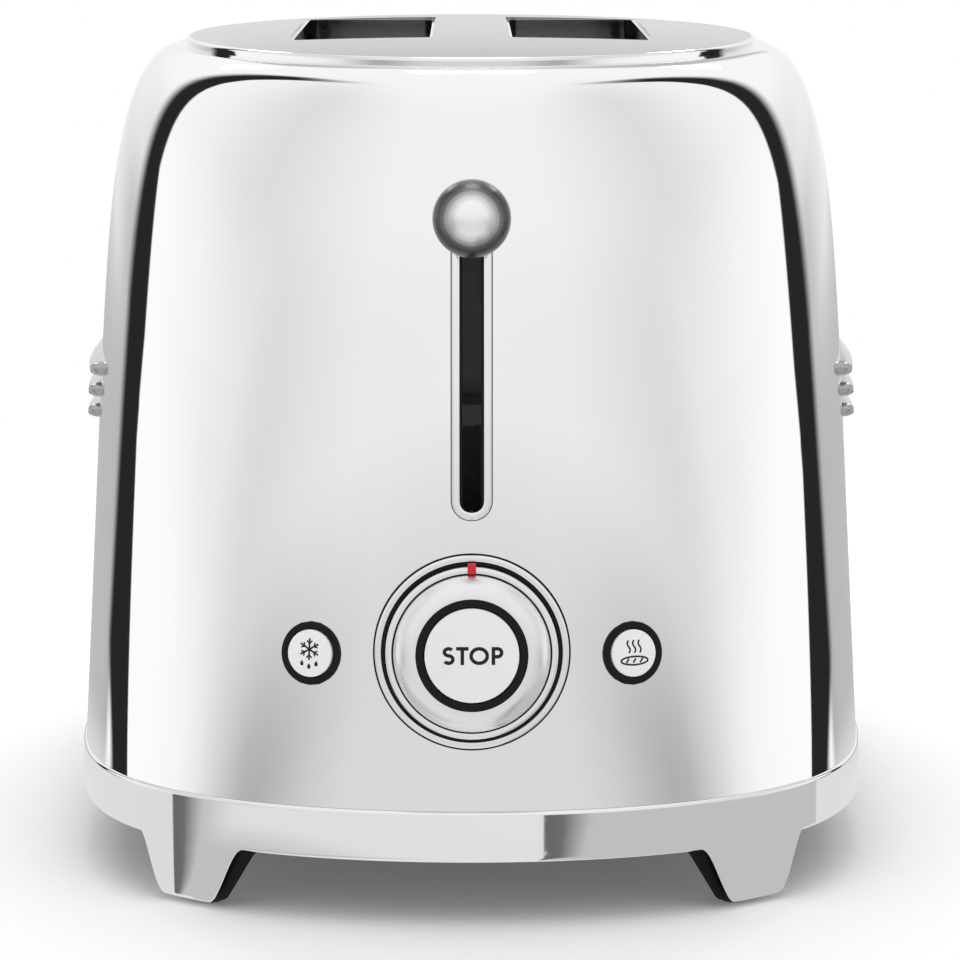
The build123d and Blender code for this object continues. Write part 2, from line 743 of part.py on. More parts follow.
spring_x = -rod_offset - 10
spring_y = plate_front - spring_radius - 1.2
spring_low = carriage_high
spring_high = rod_top - flange_sheet
coil_height = spring_high - spring_low - spring_wire - 0.4
with BuildPart() as lift_spring:
    with BuildLine(Plane((spring_x, mid_y + spring_y, spring_low + spring_wire / 2 + 0.2))):
        coil = Helix(pitch=coil_height / spring_turns, height=coil_height, radius=spring_radius)
    with BuildSketch(Plane(origin=coil @ 0, z_dir=coil % 0)):
        Circle(spring_wire / 2)
    sweep(is_frenet=True)
finish(lift_spring, "lift_spring")

ball_y = ball_radius - front_reach
with BuildPart() as lever_arm:
    half = arm_thickness / 2
    arm_edges = (lever_height - arm_height / 2, lever_height + arm_height / 2)
    bar((-half, half), (ball_y + ball_radius, riser_front), arm_edges)
    bar((-riser_half, riser_half), (riser_front - 1.5, riser_front), (lever_height - 5, lever_height + 5))
    with BuildSketch(front_view.offset(-ball_y - ball_radius)):
        with Locations((0, lever_height)):
            Circle(stud_radius)
    extrude(amount=ball_radius - 3)
finish(lever_arm, "lever_arm")

with BuildPart() as lever_ball:
    with Locations((0, mid_y + ball_y, lever_height)):
        Sphere(ball_radius)
    with BuildSketch(front_view.offset(-ball_y - ball_radius)):
        with Locations((0, lever_height)):
            Circle(3.6)
    extrude(amount=3)
    with BuildSketch(front_view.offset(-ball_y - ball_radius - 1)):
        with Locations((0, lever_height)):
            Circle(stud_radius)
    extrude(amount=ball_radius - 2, mode=Mode.SUBTRACT)
finish(lever_ball, "lever_ball")

# Browning knob in its bezel, with the stop button through its middle
half_outline = turning_plane(panel)
ring_inner = knob_bezel_radius - knob_bezel_wall
with BuildPart() as knob_bezel:
    with BuildSketch(half_outline):
        with Locations(((ring_inner + knob_bezel_radius) / 2, -1.9)):
            Rectangle(knob_bezel_wall, 5.2)
        fillet(vertices().group_by(Axis.Y)[-1], 0.5)
    revolve(axis=panel_axis)
finish(knob_bezel, "knob_bezel")

seat_floor = -3.0
seat_back = -5.2
post_depth = control_board_depth + seat_back - 2
with BuildPart() as knob_seat:
    with BuildSketch(half_outline):
        with BuildLine():
            Polyline(
                (hub_radius + 0.4, seat_back - 2),
                (knob_bezel_radius + 2.4, seat_back - 2),
                (knob_bezel_radius + 2.4, seat_back),
                (ring_inner, seat_back),
                (ring_inner, seat_floor),
                (hub_radius + 0.4, seat_floor),
                close=True,
            )
        make_face()
    revolve(axis=panel_axis)
    with BuildSketch(panel.offset(seat_back - 2)):
        with GridLocations(36, 24, 2, 2):
            Circle(2.5)
    extrude(amount=-post_depth)
finish(knob_seat, "knob_seat")

with BuildPart() as control_knob:
    with BuildSketch(half_outline):
        with BuildLine():
            skirt = Polyline(
                (ring_radius, knob_front - 1.2),
                (stop_radius + stop_gap, knob_front - 1.2),
                (stop_radius + stop_gap, knob_step - 0.4),
                (shaft_radius + running_gap, knob_step - 0.4),
                (shaft_radius + running_gap, -12),
                (hub_radius, -12),
                (hub_radius, 1.4),
                (knob_radius - 2, 1.4),
                (knob_radius - 2, -1.5),
                (knob_radius, -1.5),
                (knob_radius, knob_step - 0.5),
                (knob_radius - 0.5, knob_step),
                (knob_radius - 1.3, knob_step),
                (knob_radius - 1.3, knob_step - 0.5),
                (knob_radius - 1.6, knob_step - 0.5),
                (knob_radius - 1.6, knob_step + 0.2),
            )
            dome = Spline(
                skirt @ 1,
                (knob_radius - 3.0, knob_step + 2.5),
                (ring_radius + 0.2, knob_front),
                tangents=((-0.15, 1), (-1, 0.1)),
            )
            Polyline(dome @ 1, (ring_radius, knob_front), (ring_radius, knob_front - 1.2))
        make_face()
    revolve(axis=panel_axis)
finish(control_knob, "control_knob")

with BuildPart() as knob_ring:
    with BuildSketch(half_outline):
        with Locations(((ring_radius + stop_radius + stop_gap) / 2, knob_front - 0.6)):
            Rectangle(ring_radius - stop_radius - stop_gap, 1.2)
    revolve(axis=panel_axis)
finish(knob_ring, "knob_ring")

with BuildPart() as knob_index:
    with BuildSketch(panel.offset(knob_step)):
        with Locations((0, knob_radius - 0.35)):
            RectangleRounded(1.9, 2.4, 0.4)
    extrude(amount=0.5)
    with BuildSketch(panel.offset(knob_step)):
        with Locations((0, knob_radius + 0.4)):
            Rectangle(1.9, 0.8)
    extrude(amount=-1.6)
    with BuildSketch(panel.offset(knob_step - 2)):
        Circle(knob_radius + 0.02)
    extrude(amount=2, mode=Mode.SUBTRACT)
finish(knob_index, "knob_index")

plunger_end = 5.0 - control_board_depth
with BuildPart() as stop_button:
    with BuildSketch(half_outline):
        with BuildLine():
            Polyline(
                (0, knob_front + 0.4),
                (0, plunger_end),
                (plunger_radius, plunger_end),
                (plunger_radius, knob_front - 2.0),
                (stop_radius, knob_front - 2.0),
                (stop_radius, knob_front - 0.2),
                (stop_radius - 0.5, knob_front + 0.2),
                (stop_radius - 3, knob_front + 0.4),
                close=True,
            )
        make_face()
    revolve(axis=panel_axis)
finish(stop_button, "stop_button")

# Potentiometer, control board and its switches, all parallel to the front face
pot_front = 10 - control_board_depth
with BuildPart() as potentiometer:
    with BuildSketch(panel.offset(-control_board_depth)):
        RectangleRounded(24, 21, 2)
        Circle(plunger_radius + plunger_gap, mode=Mode.SUBTRACT)
    extrude(amount=10)
    with BuildSketch(panel.offset(pot_front)):
        Circle(6)
        Circle(plunger_radius + plunger_gap, mode=Mode.SUBTRACT)
    extrude(amount=-13.5 - pot_front)
    with BuildSketch(panel.offset(pot_front)):
        Circle(shaft_radius)
        Circle(plunger_radius + plunger_gap, mode=Mode.SUBTRACT)
    extrude(amount=knob_step - 2 - pot_front)
finish(potentiometer, "potentiometer")

with BuildPart() as stop_switch:
    with BuildSketch(panel.offset(-control_board_depth)):
        Circle(plunger_radius - 0.1)
    extrude(amount=plunger_end - stop_travel - 0.2 + control_board_depth)
finish(stop_switch, "stop_switch")

with BuildPart() as control_board:
    with BuildSketch(panel.offset(-control_board_depth)):
        with Locations((0, -2)):
            RectangleRounded(100, 52, 2)
    extrude(amount=-1.6)
finish(control_board, "control_board")

with BuildPart() as board_components:
    with BuildSketch(panel.offset(-control_board_depth - 1.6)):
        with Locations((-30, 8), (30, 8)):
            Rectangle(16, 12)
        with Locations((-20, -16), (18, -14)):
            Circle(5)
        with Locations((34, -16), (0, 12)):
            Rectangle(9, 7)
    extrude(amount=-8)
finish(board_components, "board_components")

for name, plane in button_planes.items():
    button_outline = turning_plane(plane)
    button_axis = Axis(plane.origin, plane.z_dir)
    with BuildPart() as collar:
        with BuildSketch(button_outline):
            with BuildLine():
                Polyline(
                    (button_radius + button_gap, -4),
                    (collar_radius + 1.4, -4),
                    (collar_radius + 1.4, -2.4),
                    (collar_radius, -2.4),
                    (collar_radius, 0.2),
                    (collar_radius - 0.3, 0.5),
                    (button_radius + button_gap, 0.5),
                    close=True,
                )
            make_face()
        revolve(axis=button_axis)
    finish(collar, f"{name}_collar")
    with BuildPart() as button:
        with BuildSketch(button_outline):
            with BuildLine():
                Polyline(
                    (0, 1.1),
                    (0, -9),
                    (3, -9),
                    (3, -1.8),
                    (button_radius, -1.8),
                    (button_radius, 0.4),
                    (button_radius - 0.4, 0.8),
                    (button_radius - 2.5, 1.05),
                    close=True,
                )
            make_face()
        revolve(axis=button_axis)
    finish(button, f"{name}_button")
    tip = plane.origin - plane.z_dir * (9 + button_travel + 1.2)
    place = panel.to_local_coords(tip)
    with BuildPart() as program_switch:
        with BuildSketch(panel.offset(-control_board_depth)):
            with Locations((place.X, place.Y)):
                RectangleRounded(8, 8, 1)
        extrude(amount=place.Z + control_board_depth - 1.8)
    finish(program_switch, f"{name}_switch")

# Crumb tray with its rear panel
with BuildPart() as crumb_tray:
    bar((-tray_half_width, tray_half_width), (tray_front_y, tray_rear_y), (tray_floor, tray_rim))
    bar(
        (-tray_half_width + tray_sheet, tray_half_width - tray_sheet),
        (tray_front_y + tray_sheet, tray_rear_y - tray_sheet),
        (tray_floor + tray_sheet, tray_rim),
        mode=Mode.SUBTRACT,
    )
finish(crumb_tray, "crumb_tray")

panel_half = tray_slot_half_width - tray_panel_clearance
with BuildPart() as tray_panel:
    add(outer_form)
    with BuildPart(mode=Mode.SUBTRACT):
        add(guard_form)
        bar((-body_width, body_width), (-body_length, body_length), (0, tray_floor), mode=Mode.SUBTRACT)
    bar(
        (-panel_half, panel_half),
        (tray_rear_y, body_length),
        (skirt_top + tray_panel_clearance, tray_slot_top - tray_panel_clearance),
        mode=Mode.INTERSECT,
    )
    for side in (-1, 1):
        rib = sorted((side * 40, side * 42))
        bar(rib, (tray_rear_y, tray_rear_y + 15), (tray_floor, tray_rim))
    bar(
        (-tray_pull_half_width, tray_pull_half_width),
        (body_length / 2 - 4, body_length / 2 + tray_pull_depth),
        (28.5, 33.0),
    )
    pull = [e for e in edges().filter_by(Axis.Z) if e.center().Y > mid_y + body_length / 2 + tray_pull_depth - 0.1]
    fillet(pull, 3)
finish(tray_panel, "tray_panel")

# Supply side: cord gland in the rear of the skirt, terminal block and the leads to the board
gland_y = body_length / 2
gland_axis = Axis((0, mid_y, gland_height), (0, 1, 0))
with BuildPart() as cord_gland:
    with BuildSketch(Plane(origin=(0, mid_y, gland_height), x_dir=(1, 0, 0), z_dir=(0, 0, 1))):
        with BuildLine():
            Polyline(
                (gland_bore, gland_y - 8),
                (gland_flange, gland_y - 8),
                (gland_flange, gland_y - skirt_wall - 0.2),
                (gland_radius, gland_y - skirt_wall - 0.2),
                (gland_radius, gland_y),
                (gland_flange, gland_y),
                (gland_flange, gland_y + 1),
                (gland_flange - 1, gland_y + 2),
                (gland_bore, gland_y + 2),
                close=True,
            )
        make_face()
    revolve(axis=gland_axis)
finish(cord_gland, "cord_gland")

block_x = skirt_inner_width - 28.0
lead_x = skirt_inner_width - 20.0
block_height = tray_floor - pan_top - 0.9
block_y = gland_y - 42
with BuildPart() as terminal_block:
    bar((block_x - 10, block_x + 10), (block_y - 6, block_y + 6), (pan_top, pan_top + block_height))
    with BuildSketch(plan.offset(pan_top + block_height)):
        with Locations((block_x - 5, block_y), (block_x + 5, block_y)):
            Circle(2.2)
    extrude(amount=-2, mode=Mode.SUBTRACT)
finish(terminal_block, "terminal_block")

lead_start = block_y - 6
with BuildPart() as mains_leads:
    for offset, height in ((-5, pan_top + 2.5), (5, pan_top + 6)):
        with BuildLine(plan.offset(height)):
            run = FilletPolyline(
                (block_x + offset, lead_start),
                (block_x + offset, lead_start - 12),
                (lead_x - offset / 2.5, lead_start - 24),
                (lead_x - offset / 2.5, -88),
                (48 + offset / 2.5, board_foot_y + 8),
                radius=5,
            )
        with BuildSketch(Plane(origin=run @ 0, z_dir=run % 0)):
            Circle(1.3)
        sweep()
finish(mains_leads, "mains_leads")
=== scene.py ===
import math

import bmesh
import bpy
import numpy as np
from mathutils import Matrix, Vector


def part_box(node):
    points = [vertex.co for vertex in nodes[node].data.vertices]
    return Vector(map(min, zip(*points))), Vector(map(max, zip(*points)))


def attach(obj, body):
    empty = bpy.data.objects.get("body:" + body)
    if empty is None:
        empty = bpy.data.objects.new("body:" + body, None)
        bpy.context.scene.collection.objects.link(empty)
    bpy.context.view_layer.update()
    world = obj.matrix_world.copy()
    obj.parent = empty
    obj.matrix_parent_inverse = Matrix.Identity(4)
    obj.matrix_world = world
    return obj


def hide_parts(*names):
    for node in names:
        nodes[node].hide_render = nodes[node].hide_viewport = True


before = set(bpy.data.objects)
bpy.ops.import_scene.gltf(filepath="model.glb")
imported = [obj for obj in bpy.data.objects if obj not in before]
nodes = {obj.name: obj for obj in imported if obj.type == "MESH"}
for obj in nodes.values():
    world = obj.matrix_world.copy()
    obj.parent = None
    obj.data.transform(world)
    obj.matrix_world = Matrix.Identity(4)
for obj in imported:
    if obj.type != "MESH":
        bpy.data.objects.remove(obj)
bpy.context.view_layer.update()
mm = 0.001
# the body's own middle; the ball and the tray's pull shift the frame's origin
bodyMiddle = (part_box("base_skirt")[0].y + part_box("base_skirt")[1].y) / 2
print("frame loaded:", len(nodes), "nodes")


# small helpers
def hexColor(text, alpha=1.0):
    # sRGB hex to linear
    channels = np.array([int(text[i : i + 2], 16) for i in (0, 2, 4)]) / 255
    linear = np.where(channels <= 0.04045, channels / 12.92, ((channels + 0.055) / 1.055) ** 2.4)
    return (*linear.tolist(), alpha)


def addNode(tree, kind, inputs=None, links=None, **options):
    # a node with its fixed values, its links and its own options
    node = tree.nodes.new(kind)
    for name, value in options.items():
        setattr(node, name, value)
    for name, value in (inputs or {}).items():
        node.inputs[name].default_value = value
    for name, socket in (links or {}).items():
        tree.links.new(socket, node.inputs[name])
    return node


def newMaterial(name):
    material = bpy.data.materials.new(name)
    material.use_nodes = True
    material.node_tree.nodes.clear()
    return material, material.node_tree


def placeStops(node, stops):
    # colour stops (place, hex) of a ramp
    ramp = node.color_ramp
    while len(ramp.elements) > 1:
        ramp.elements.remove(ramp.elements[-1])
    ramp.elements[0].position, ramp.elements[0].color = stops[0][0], hexColor(stops[0][1])
    for position, tint in stops[1:]:
        ramp.elements.new(position).color = hexColor(tint)


def linkPiece(name, mesh, material):
    mesh.materials.append(material)
    piece = bpy.data.objects.new(name, mesh)
    bpy.context.scene.collection.objects.link(piece)
    return piece


def dress(piece, node, body):
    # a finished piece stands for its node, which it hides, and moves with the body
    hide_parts(node)
    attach(piece, body)


def addPiece(name, points, faces, material, smooth=True, merge=True, outward=False, crisp=None):
    # points (n, 3) in metres and quads (m, 4) become one mesh object at the origin;
    # crisp keeps edges sharper than that many degrees and weighs the other normals by area
    mesh = bpy.data.meshes.new(name)
    mesh.from_pydata(points.tolist(), [], faces.tolist())
    if merge:  # a pole's ring of equal points becomes one point, and its flat quads go
        work = bmesh.new()
        work.from_mesh(mesh)
        bmesh.ops.remove_doubles(work, verts=work.verts, dist=1e-7)
        bmesh.ops.dissolve_degenerate(work, edges=work.edges, dist=1e-8)
        if outward:
            bmesh.ops.recalc_face_normals(work, faces=work.faces)
        work.to_mesh(mesh)
        work.free()
    mesh.polygons.foreach_set("use_smooth", [smooth] * len(mesh.polygons))
    piece = linkPiece(name, mesh, material)
    if crisp:
        mesh.set_sharp_from_angle(angle=math.radians(crisp))
        weighted = piece.modifiers.new("areaNormals", "WEIGHTED_NORMAL")
        weighted.keep_sharp, weighted.weight = True, 80
    return piece


def unit(vectors):
    # each vector divided by its own length
    return vectors / np.maximum(np.linalg.norm(vectors, axis=-1, keepdims=True), 1e-12)


def wallPiece(name, points, normals, faces, thickness, material):
    # a sheet: the outer face, the inner face one thickness behind it along the normals, and the wall
    # round every open edge; outer and inner corners keep the surface's own normals
    used = np.unique(faces)
    renumber = np.zeros(len(points), int)
    renumber[used] = np.arange(len(used))
    points, normals, faces = points[used], unit(normals[used]), renumber[faces]
    count = len(points)
    starts, ends = faces.reshape(-1), np.roll(faces, -1, axis=1).reshape(-1)
    isOpen = ~np.isin(starts * count + ends, ends * count + starts) & (starts != ends)
    a, b = starts[isOpen], ends[isOpen]
    rim = np.stack([b, a, a + count, b + count], -1)
    both = np.concatenate([points, points - normals * thickness])
    flat = unit(np.cross(both[rim[:, 2]] - both[rim[:, 0]], both[rim[:, 3]] - both[rim[:, 1]]))
    rimNormals = np.zeros_like(both)
    for corner in range(4):
        np.add.at(rimNormals, rim[:, corner], flat)
    corners = np.concatenate([normals[faces], -normals[faces[:, ::-1]], unit(rimNormals)[rim]]).reshape(-1, 3)
    mesh = bpy.data.meshes.new(name)
    mesh.from_pydata(both.tolist(), [], np.concatenate([faces, faces[:, ::-1] + count, rim]).tolist())
    mesh.polygons.foreach_set("use_smooth", [True] * len(mesh.polygons))
    mesh.normals_split_custom_set(corners.tolist())
    return linkPiece(name, mesh, material)


def gridFaces(rows, columns, closeRows=False, closeColumns=False):
    # quads between neighbouring points of a rows x columns grid, as index rows
    lastRow, lastColumn = rows - (not closeRows), columns - (not closeColumns)
    i, j = np.meshgrid(np.arange(lastRow), np.arange(lastColumn), indexing="ij")
    k, l = (i + 1) % rows, (j + 1) % columns
    return np.stack([i * columns + j, i * columns + l, k * columns + l, k * columns + j], -1).reshape(-1, 4)


def roundedProfile(corners, steps=6):
    # corners (x, y, radius): each corner with a radius becomes an arc tangent to both of its runs
    points = []
    for index, (x, y, radius) in enumerate(corners):
        here = np.array([x, y], float)
        if radius <= 0 or index in (0, len(corners) - 1):
            points.append(here)
            continue
        toBefore = unit(np.array(corners[index - 1][:2], float) - here)
        toAfter = unit(np.array(corners[index + 1][:2], float) - here)
        half = math.acos(np.clip(toBefore @ toAfter, -1, 1)) / 2
        reachBack = radius / math.tan(half)
        centre = here + unit(toBefore + toAfter) * radius / math.sin(half)
        start, end = here + toBefore * reachBack, here + toAfter * reachBack
        a0, a1 = math.atan2(*(start - centre)[::-1]), math.atan2(*(end - centre)[::-1])
        turn = (a1 - a0 + math.pi) % (2 * math.pi) - math.pi
        angles = a0 + turn * np.linspace(0, 1, steps + 1)
        points.extend(centre + radius * np.stack([np.cos(angles), np.sin(angles)], axis=-1))
    return np.array(points)


def turnedPiece(name, profile, plane, material, segments=128, crisp=40):
    # profile (radius, height) in mm carried round the plane's normal: origin + r cos a X + r sin a Y + h N
    origin, across, up, normal = plane
    angle = np.linspace(0, 2 * np.pi, segments, endpoint=False)
    radius, height = profile[:, 0] * mm, profile[:, 1] * mm
    points = (
        origin
        + np.cos(angle)[:, None, None] * radius[None, :, None] * across
        + np.sin(angle)[:, None, None] * radius[None, :, None] * up
        + height[None, :, None] * normal
    )
    faces = gridFaces(segments, len(profile), closeRows=True)
    return addPiece(name, points.reshape(-1, 3), faces, material, crisp=crisp)


# the body's surface
bodyShape = {
    "halfWidth": 96.4, "halfLength": 154.4, "foot": 26.9, "top": 194.3,
    "sideLean": 4.9, "endLean": 14.0, "sideShoulder": 16.9, "endShoulder": 15.5,
    "shoulderPower": 7.5, "footFlatness": 4.3, "topFlatness": 2.0, "flatnessPower": 1.45,
}
bodyRise = bodyShape["top"] - bodyShape["foot"]


def sizesAt(rise):
    # the plan at a share of the height: |x/a|^2 + |y/b|^f = 1, with a and b leaning in and then
    # rounding over the shoulder
    rise = np.clip(rise, 0, 1)
    shoulder = 1 - np.sqrt(1 - rise ** bodyShape["shoulderPower"])
    a = bodyShape["halfWidth"] - bodyShape["sideLean"] * rise - bodyShape["sideShoulder"] * shoulder
    b = bodyShape["halfLength"] - bodyShape["endLean"] * rise - bodyShape["endShoulder"] * shoulder
    spread = bodyShape["footFlatness"] - bodyShape["topFlatness"]
    f = bodyShape["topFlatness"] + spread * (1 - rise) ** bodyShape["flatnessPower"]
    return a, b, f


def faceReach(x, z):
    # how far ahead of the middle the face lies, in mm
    a, b, f = sizesAt((z - bodyShape["foot"]) / bodyRise)
    return b * np.clip(1 - (x / a) ** 2, 0, None) ** (1 / f)


def sideReach(y, z):
    # how far out the flank lies, in mm
    a, b, f = sizesAt((z - bodyShape["foot"]) / bodyRise)
    return a * np.sqrt(np.clip(1 - np.abs(y / b) ** f, 0, None))


def bodyNormals(x, y, z):
    # the gradient of (x/a)^2 + |y/b|^f by central differences, kept between the foot and the top
    step = 0.01
    z = np.clip(z, bodyShape["foot"] + step, bodyShape["top"] - step)

    def level(x, y, z):
        a, b, f = sizesAt((z - bodyShape["foot"]) / bodyRise)
        return (x / a) ** 2 + (np.abs(y) / b) ** f

    return unit(np.stack([
        level(x + step, y, z) - level(x - step, y, z),
        level(x, y + step, z) - level(x, y - step, z),
        level(x, y, z + step) - level(x, y, z - step),
    ], -1))


def facePlane(x, z):
    # origin, across, up and normal of the face at a place, for turned pieces
    normal = bodyNormals(np.array(x), np.array(-faceReach(x, z)), np.array(z))
    across = unit(np.array([-normal[1], normal[0], 0]))
    up = np.cross(normal, across)
    origin = np.array([x * mm, bodyMiddle - faceReach(x, z) * mm, z * mm])
    return origin, across, up, normal


def planRing(a, b, f, perQuarter):
    # equal steps of arc round |x/a|^2 + |y/b|^f = 1, from a dense curve in the angle, quarter by quarter
    dense = np.pi / 2 * np.linspace(0, 1, 3000) ** 1.6
    x, y = a * np.cos(dense), b * np.sin(dense) ** (2 / f)
    arc = np.concatenate([[0], np.cumsum(np.hypot(np.diff(x), np.diff(y)))])
    places = np.linspace(0, arc[-1], perQuarter + 1)
    x, y = np.interp(places, arc, x), np.interp(places, arc, y)
    x[-1], y[0] = 0, 0
    return np.concatenate([
        np.stack([x, y], -1)[:-1],
        np.stack([-x, y], -1)[:0:-1],
        np.stack([-x, -y], -1)[:-1],
        np.stack([x, -y], -1)[:0:-1],
    ])


def snapToEdge(u, v, distance, closed):
    # points inside a hole that touch one outside it slide along the distance's gradient onto the hole's
    # edge; returns the moved places and which points are inside
    inside = distance(u, v) < 0
    padded = np.pad(~inside, ((0, 0), (1, 1)), mode="wrap" if closed else "edge")
    padded = np.pad(padded, ((1, 1), (0, 0)), mode="edge")
    near = np.zeros_like(inside)
    for di in (0, 1, 2):
        for dj in (0, 1, 2):
            near |= padded[di : di + inside.shape[0], dj : dj + inside.shape[1]]
    edge = inside & near
    ue, ve, step = u[edge], v[edge], 0.02
    for _ in range(6):
        here = distance(ue, ve)
        gu = (distance(ue + step, ve) - distance(ue - step, ve)) / (2 * step)
        gv = (distance(ue, ve + step) - distance(ue, ve - step)) / (2 * step)
        size = gu**2 + gv**2 + 1e-9
        ue, ve = ue - here * gu / size, ve - here * gv / size
    u, v = u.copy(), v.copy()
    u[edge], v[edge] = ue, ve
    return u, v, inside


def roundedRect(u, v, centre, half, radius):
    # signed distance to a rectangle with rounded corners, negative inside
    du, dv = np.abs(u - centre[0]) - half[0] + radius, np.abs(v - centre[1]) - half[1] + radius
    return np.hypot(np.maximum(du, 0), np.maximum(dv, 0)) + np.minimum(np.maximum(du, dv), 0) - radius


def keptFaces(rows, columns, insideMasks, closeColumns):
    # the grid's quads without those that lie wholly inside a hole
    faces = gridFaces(rows, columns, closeColumns=closeColumns)
    for inside in insideMasks:
        faces = faces[~inside.reshape(-1)[faces].all(axis=1)]
    return faces


# camera
cameraSettings = {"place": (-1.297, -1131.7, 247.18), "pitch": 8.332, "yaw": -0.183, "lens": 165.46}
camera = bpy.data.objects.new("camera", bpy.data.cameras.new("camera"))
bpy.context.scene.collection.objects.link(camera)
camera.data.sensor_width = 36
camera.data.lens = cameraSettings["lens"]
camera.data.clip_end = 20
camera.location = Vector(cameraSettings["place"]) * mm
camera.rotation_euler = (math.radians(90 - cameraSettings["pitch"]), 0, math.radians(cameraSettings["yaw"]))
bpy.context.scene.camera = camera
bpy.context.scene.view_settings.view_transform = "Standard"
print("camera set")


# materials
def mirrorSteel(name, tint, roughness, waviness, spread=(0.7, 1.4)):
    # polished stainless: a near-neutral mirror with faint buffing waves a few centimetres long and
    # hairline wipe marks, which spread the roughness
    material, tree = newMaterial(name)
    place = addNode(tree, "ShaderNodeTexCoord").outputs["Object"]
    waves = addNode(tree, "ShaderNodeTexNoise", {"Scale": 1 / 0.05, "Detail": 1.0}, {"Vector": place})
    hairScale = addNode(
        tree, "ShaderNodeMapping", {"Scale": (1 / 0.004, 1 / 0.004, 1 / 0.0006)}, {"Vector": place}
    )
    hair = addNode(
        tree, "ShaderNodeTexNoise", {"Scale": 1.0, "Detail": 3.0}, {"Vector": hairScale.outputs[0]}
    )
    rough = addNode(
        tree, "ShaderNodeMapRange",
        {"From Min": 0.3, "From Max": 0.7, "To Min": roughness * spread[0], "To Max": roughness * spread[1]},
        {"Value": hair.outputs["Fac"]},
    )
    bump = addNode(
        tree, "ShaderNodeBump", {"Strength": waviness, "Distance": 0.0004}, {"Height": waves.outputs["Fac"]}
    )
    shader = addNode(
        tree, "ShaderNodeBsdfPrincipled", {"Base Color": hexColor(tint), "Metallic": 1.0},
        {"Roughness": rough.outputs[0], "Normal": bump.outputs[0]},
    )
    addNode(tree, "ShaderNodeOutputMaterial", links={"Surface": shader.outputs[0]})
    return material


def brushedSheet(name, tint, roughness, grain):
    # rolled or galvanised sheet: spangles about 6 mm across and a fine rolling grain
    material, tree = newMaterial(name)
    place = addNode(tree, "ShaderNodeTexCoord").outputs["Object"]
    spangle = addNode(tree, "ShaderNodeTexVoronoi", {"Scale": 1 / 0.006}, {"Vector": place})
    fine = addNode(tree, "ShaderNodeTexNoise", {"Scale": 1 / grain, "Detail": 4.0}, {"Vector": place})
    flake = addNode(
        tree, "ShaderNodeMapRange", {"To Min": 0.0, "To Max": 0.35}, {"Value": spangle.outputs["Color"]}
    )
    shade = addNode(
        tree, "ShaderNodeMix", {6: hexColor(tint), 7: hexColor("7E8083")}, {0: flake.outputs[0]},
        data_type="RGBA",
    )
    rough = addNode(
        tree, "ShaderNodeMapRange", {"To Min": roughness * 0.8, "To Max": roughness * 1.3},
        {"Value": fine.outputs["Fac"]},
    )
    bump = addNode(
        tree, "ShaderNodeBump", {"Strength": 0.15, "Distance": 0.0001}, {"Height": fine.outputs["Fac"]}
    )
    shader = addNode(
        tree, "ShaderNodeBsdfPrincipled", {"Metallic": 1.0},
        {"Base Color": shade.outputs[2], "Roughness": rough.outputs[0], "Normal": bump.outputs[0]},
    )
    addNode(tree, "ShaderNodeOutputMaterial", links={"Surface": shader.outputs[0]})
    return material


def mouldedPlastic(name, tint, roughness, grain, relief, shine=0.5):
    # moulded plastic: one colour with a shade of variation and a spark-eroded grain of the given size
    material, tree = newMaterial(name)
    place = addNode(tree, "ShaderNodeTexCoord").outputs["Object"]
    fine = addNode(tree, "ShaderNodeTexNoise", {"Scale": 1 / grain, "Detail": 3.0}, {"Vector": place})
    wide = addNode(tree, "ShaderNodeTexNoise", {"Scale": 1 / 0.03, "Detail": 2.0}, {"Vector": place})
    base = hexColor(tint)
    lighter = tuple(min(1, c * 1.12 + 0.002) for c in base[:3]) + (1,)
    shade = addNode(tree, "ShaderNodeMix", {6: base, 7: lighter}, {0: wide.outputs["Fac"]}, data_type="RGBA")
    rough = addNode(
        tree, "ShaderNodeMapRange", {"To Min": roughness * 0.85, "To Max": roughness * 1.15},
        {"Value": fine.outputs["Fac"]},
    )
    bump = addNode(
        tree, "ShaderNodeBump", {"Strength": relief, "Distance": 0.00005}, {"Height": fine.outputs["Fac"]}
    )
    shader = addNode(
        tree, "ShaderNodeBsdfPrincipled", {"IOR": 1.5, "Specular IOR Level": shine},
        {"Base Color": shade.outputs[2], "Roughness": rough.outputs[0], "Normal": bump.outputs[0]},
    )
    addNode(tree, "ShaderNodeOutputMaterial", links={"Surface": shader.outputs[0]})
    return material


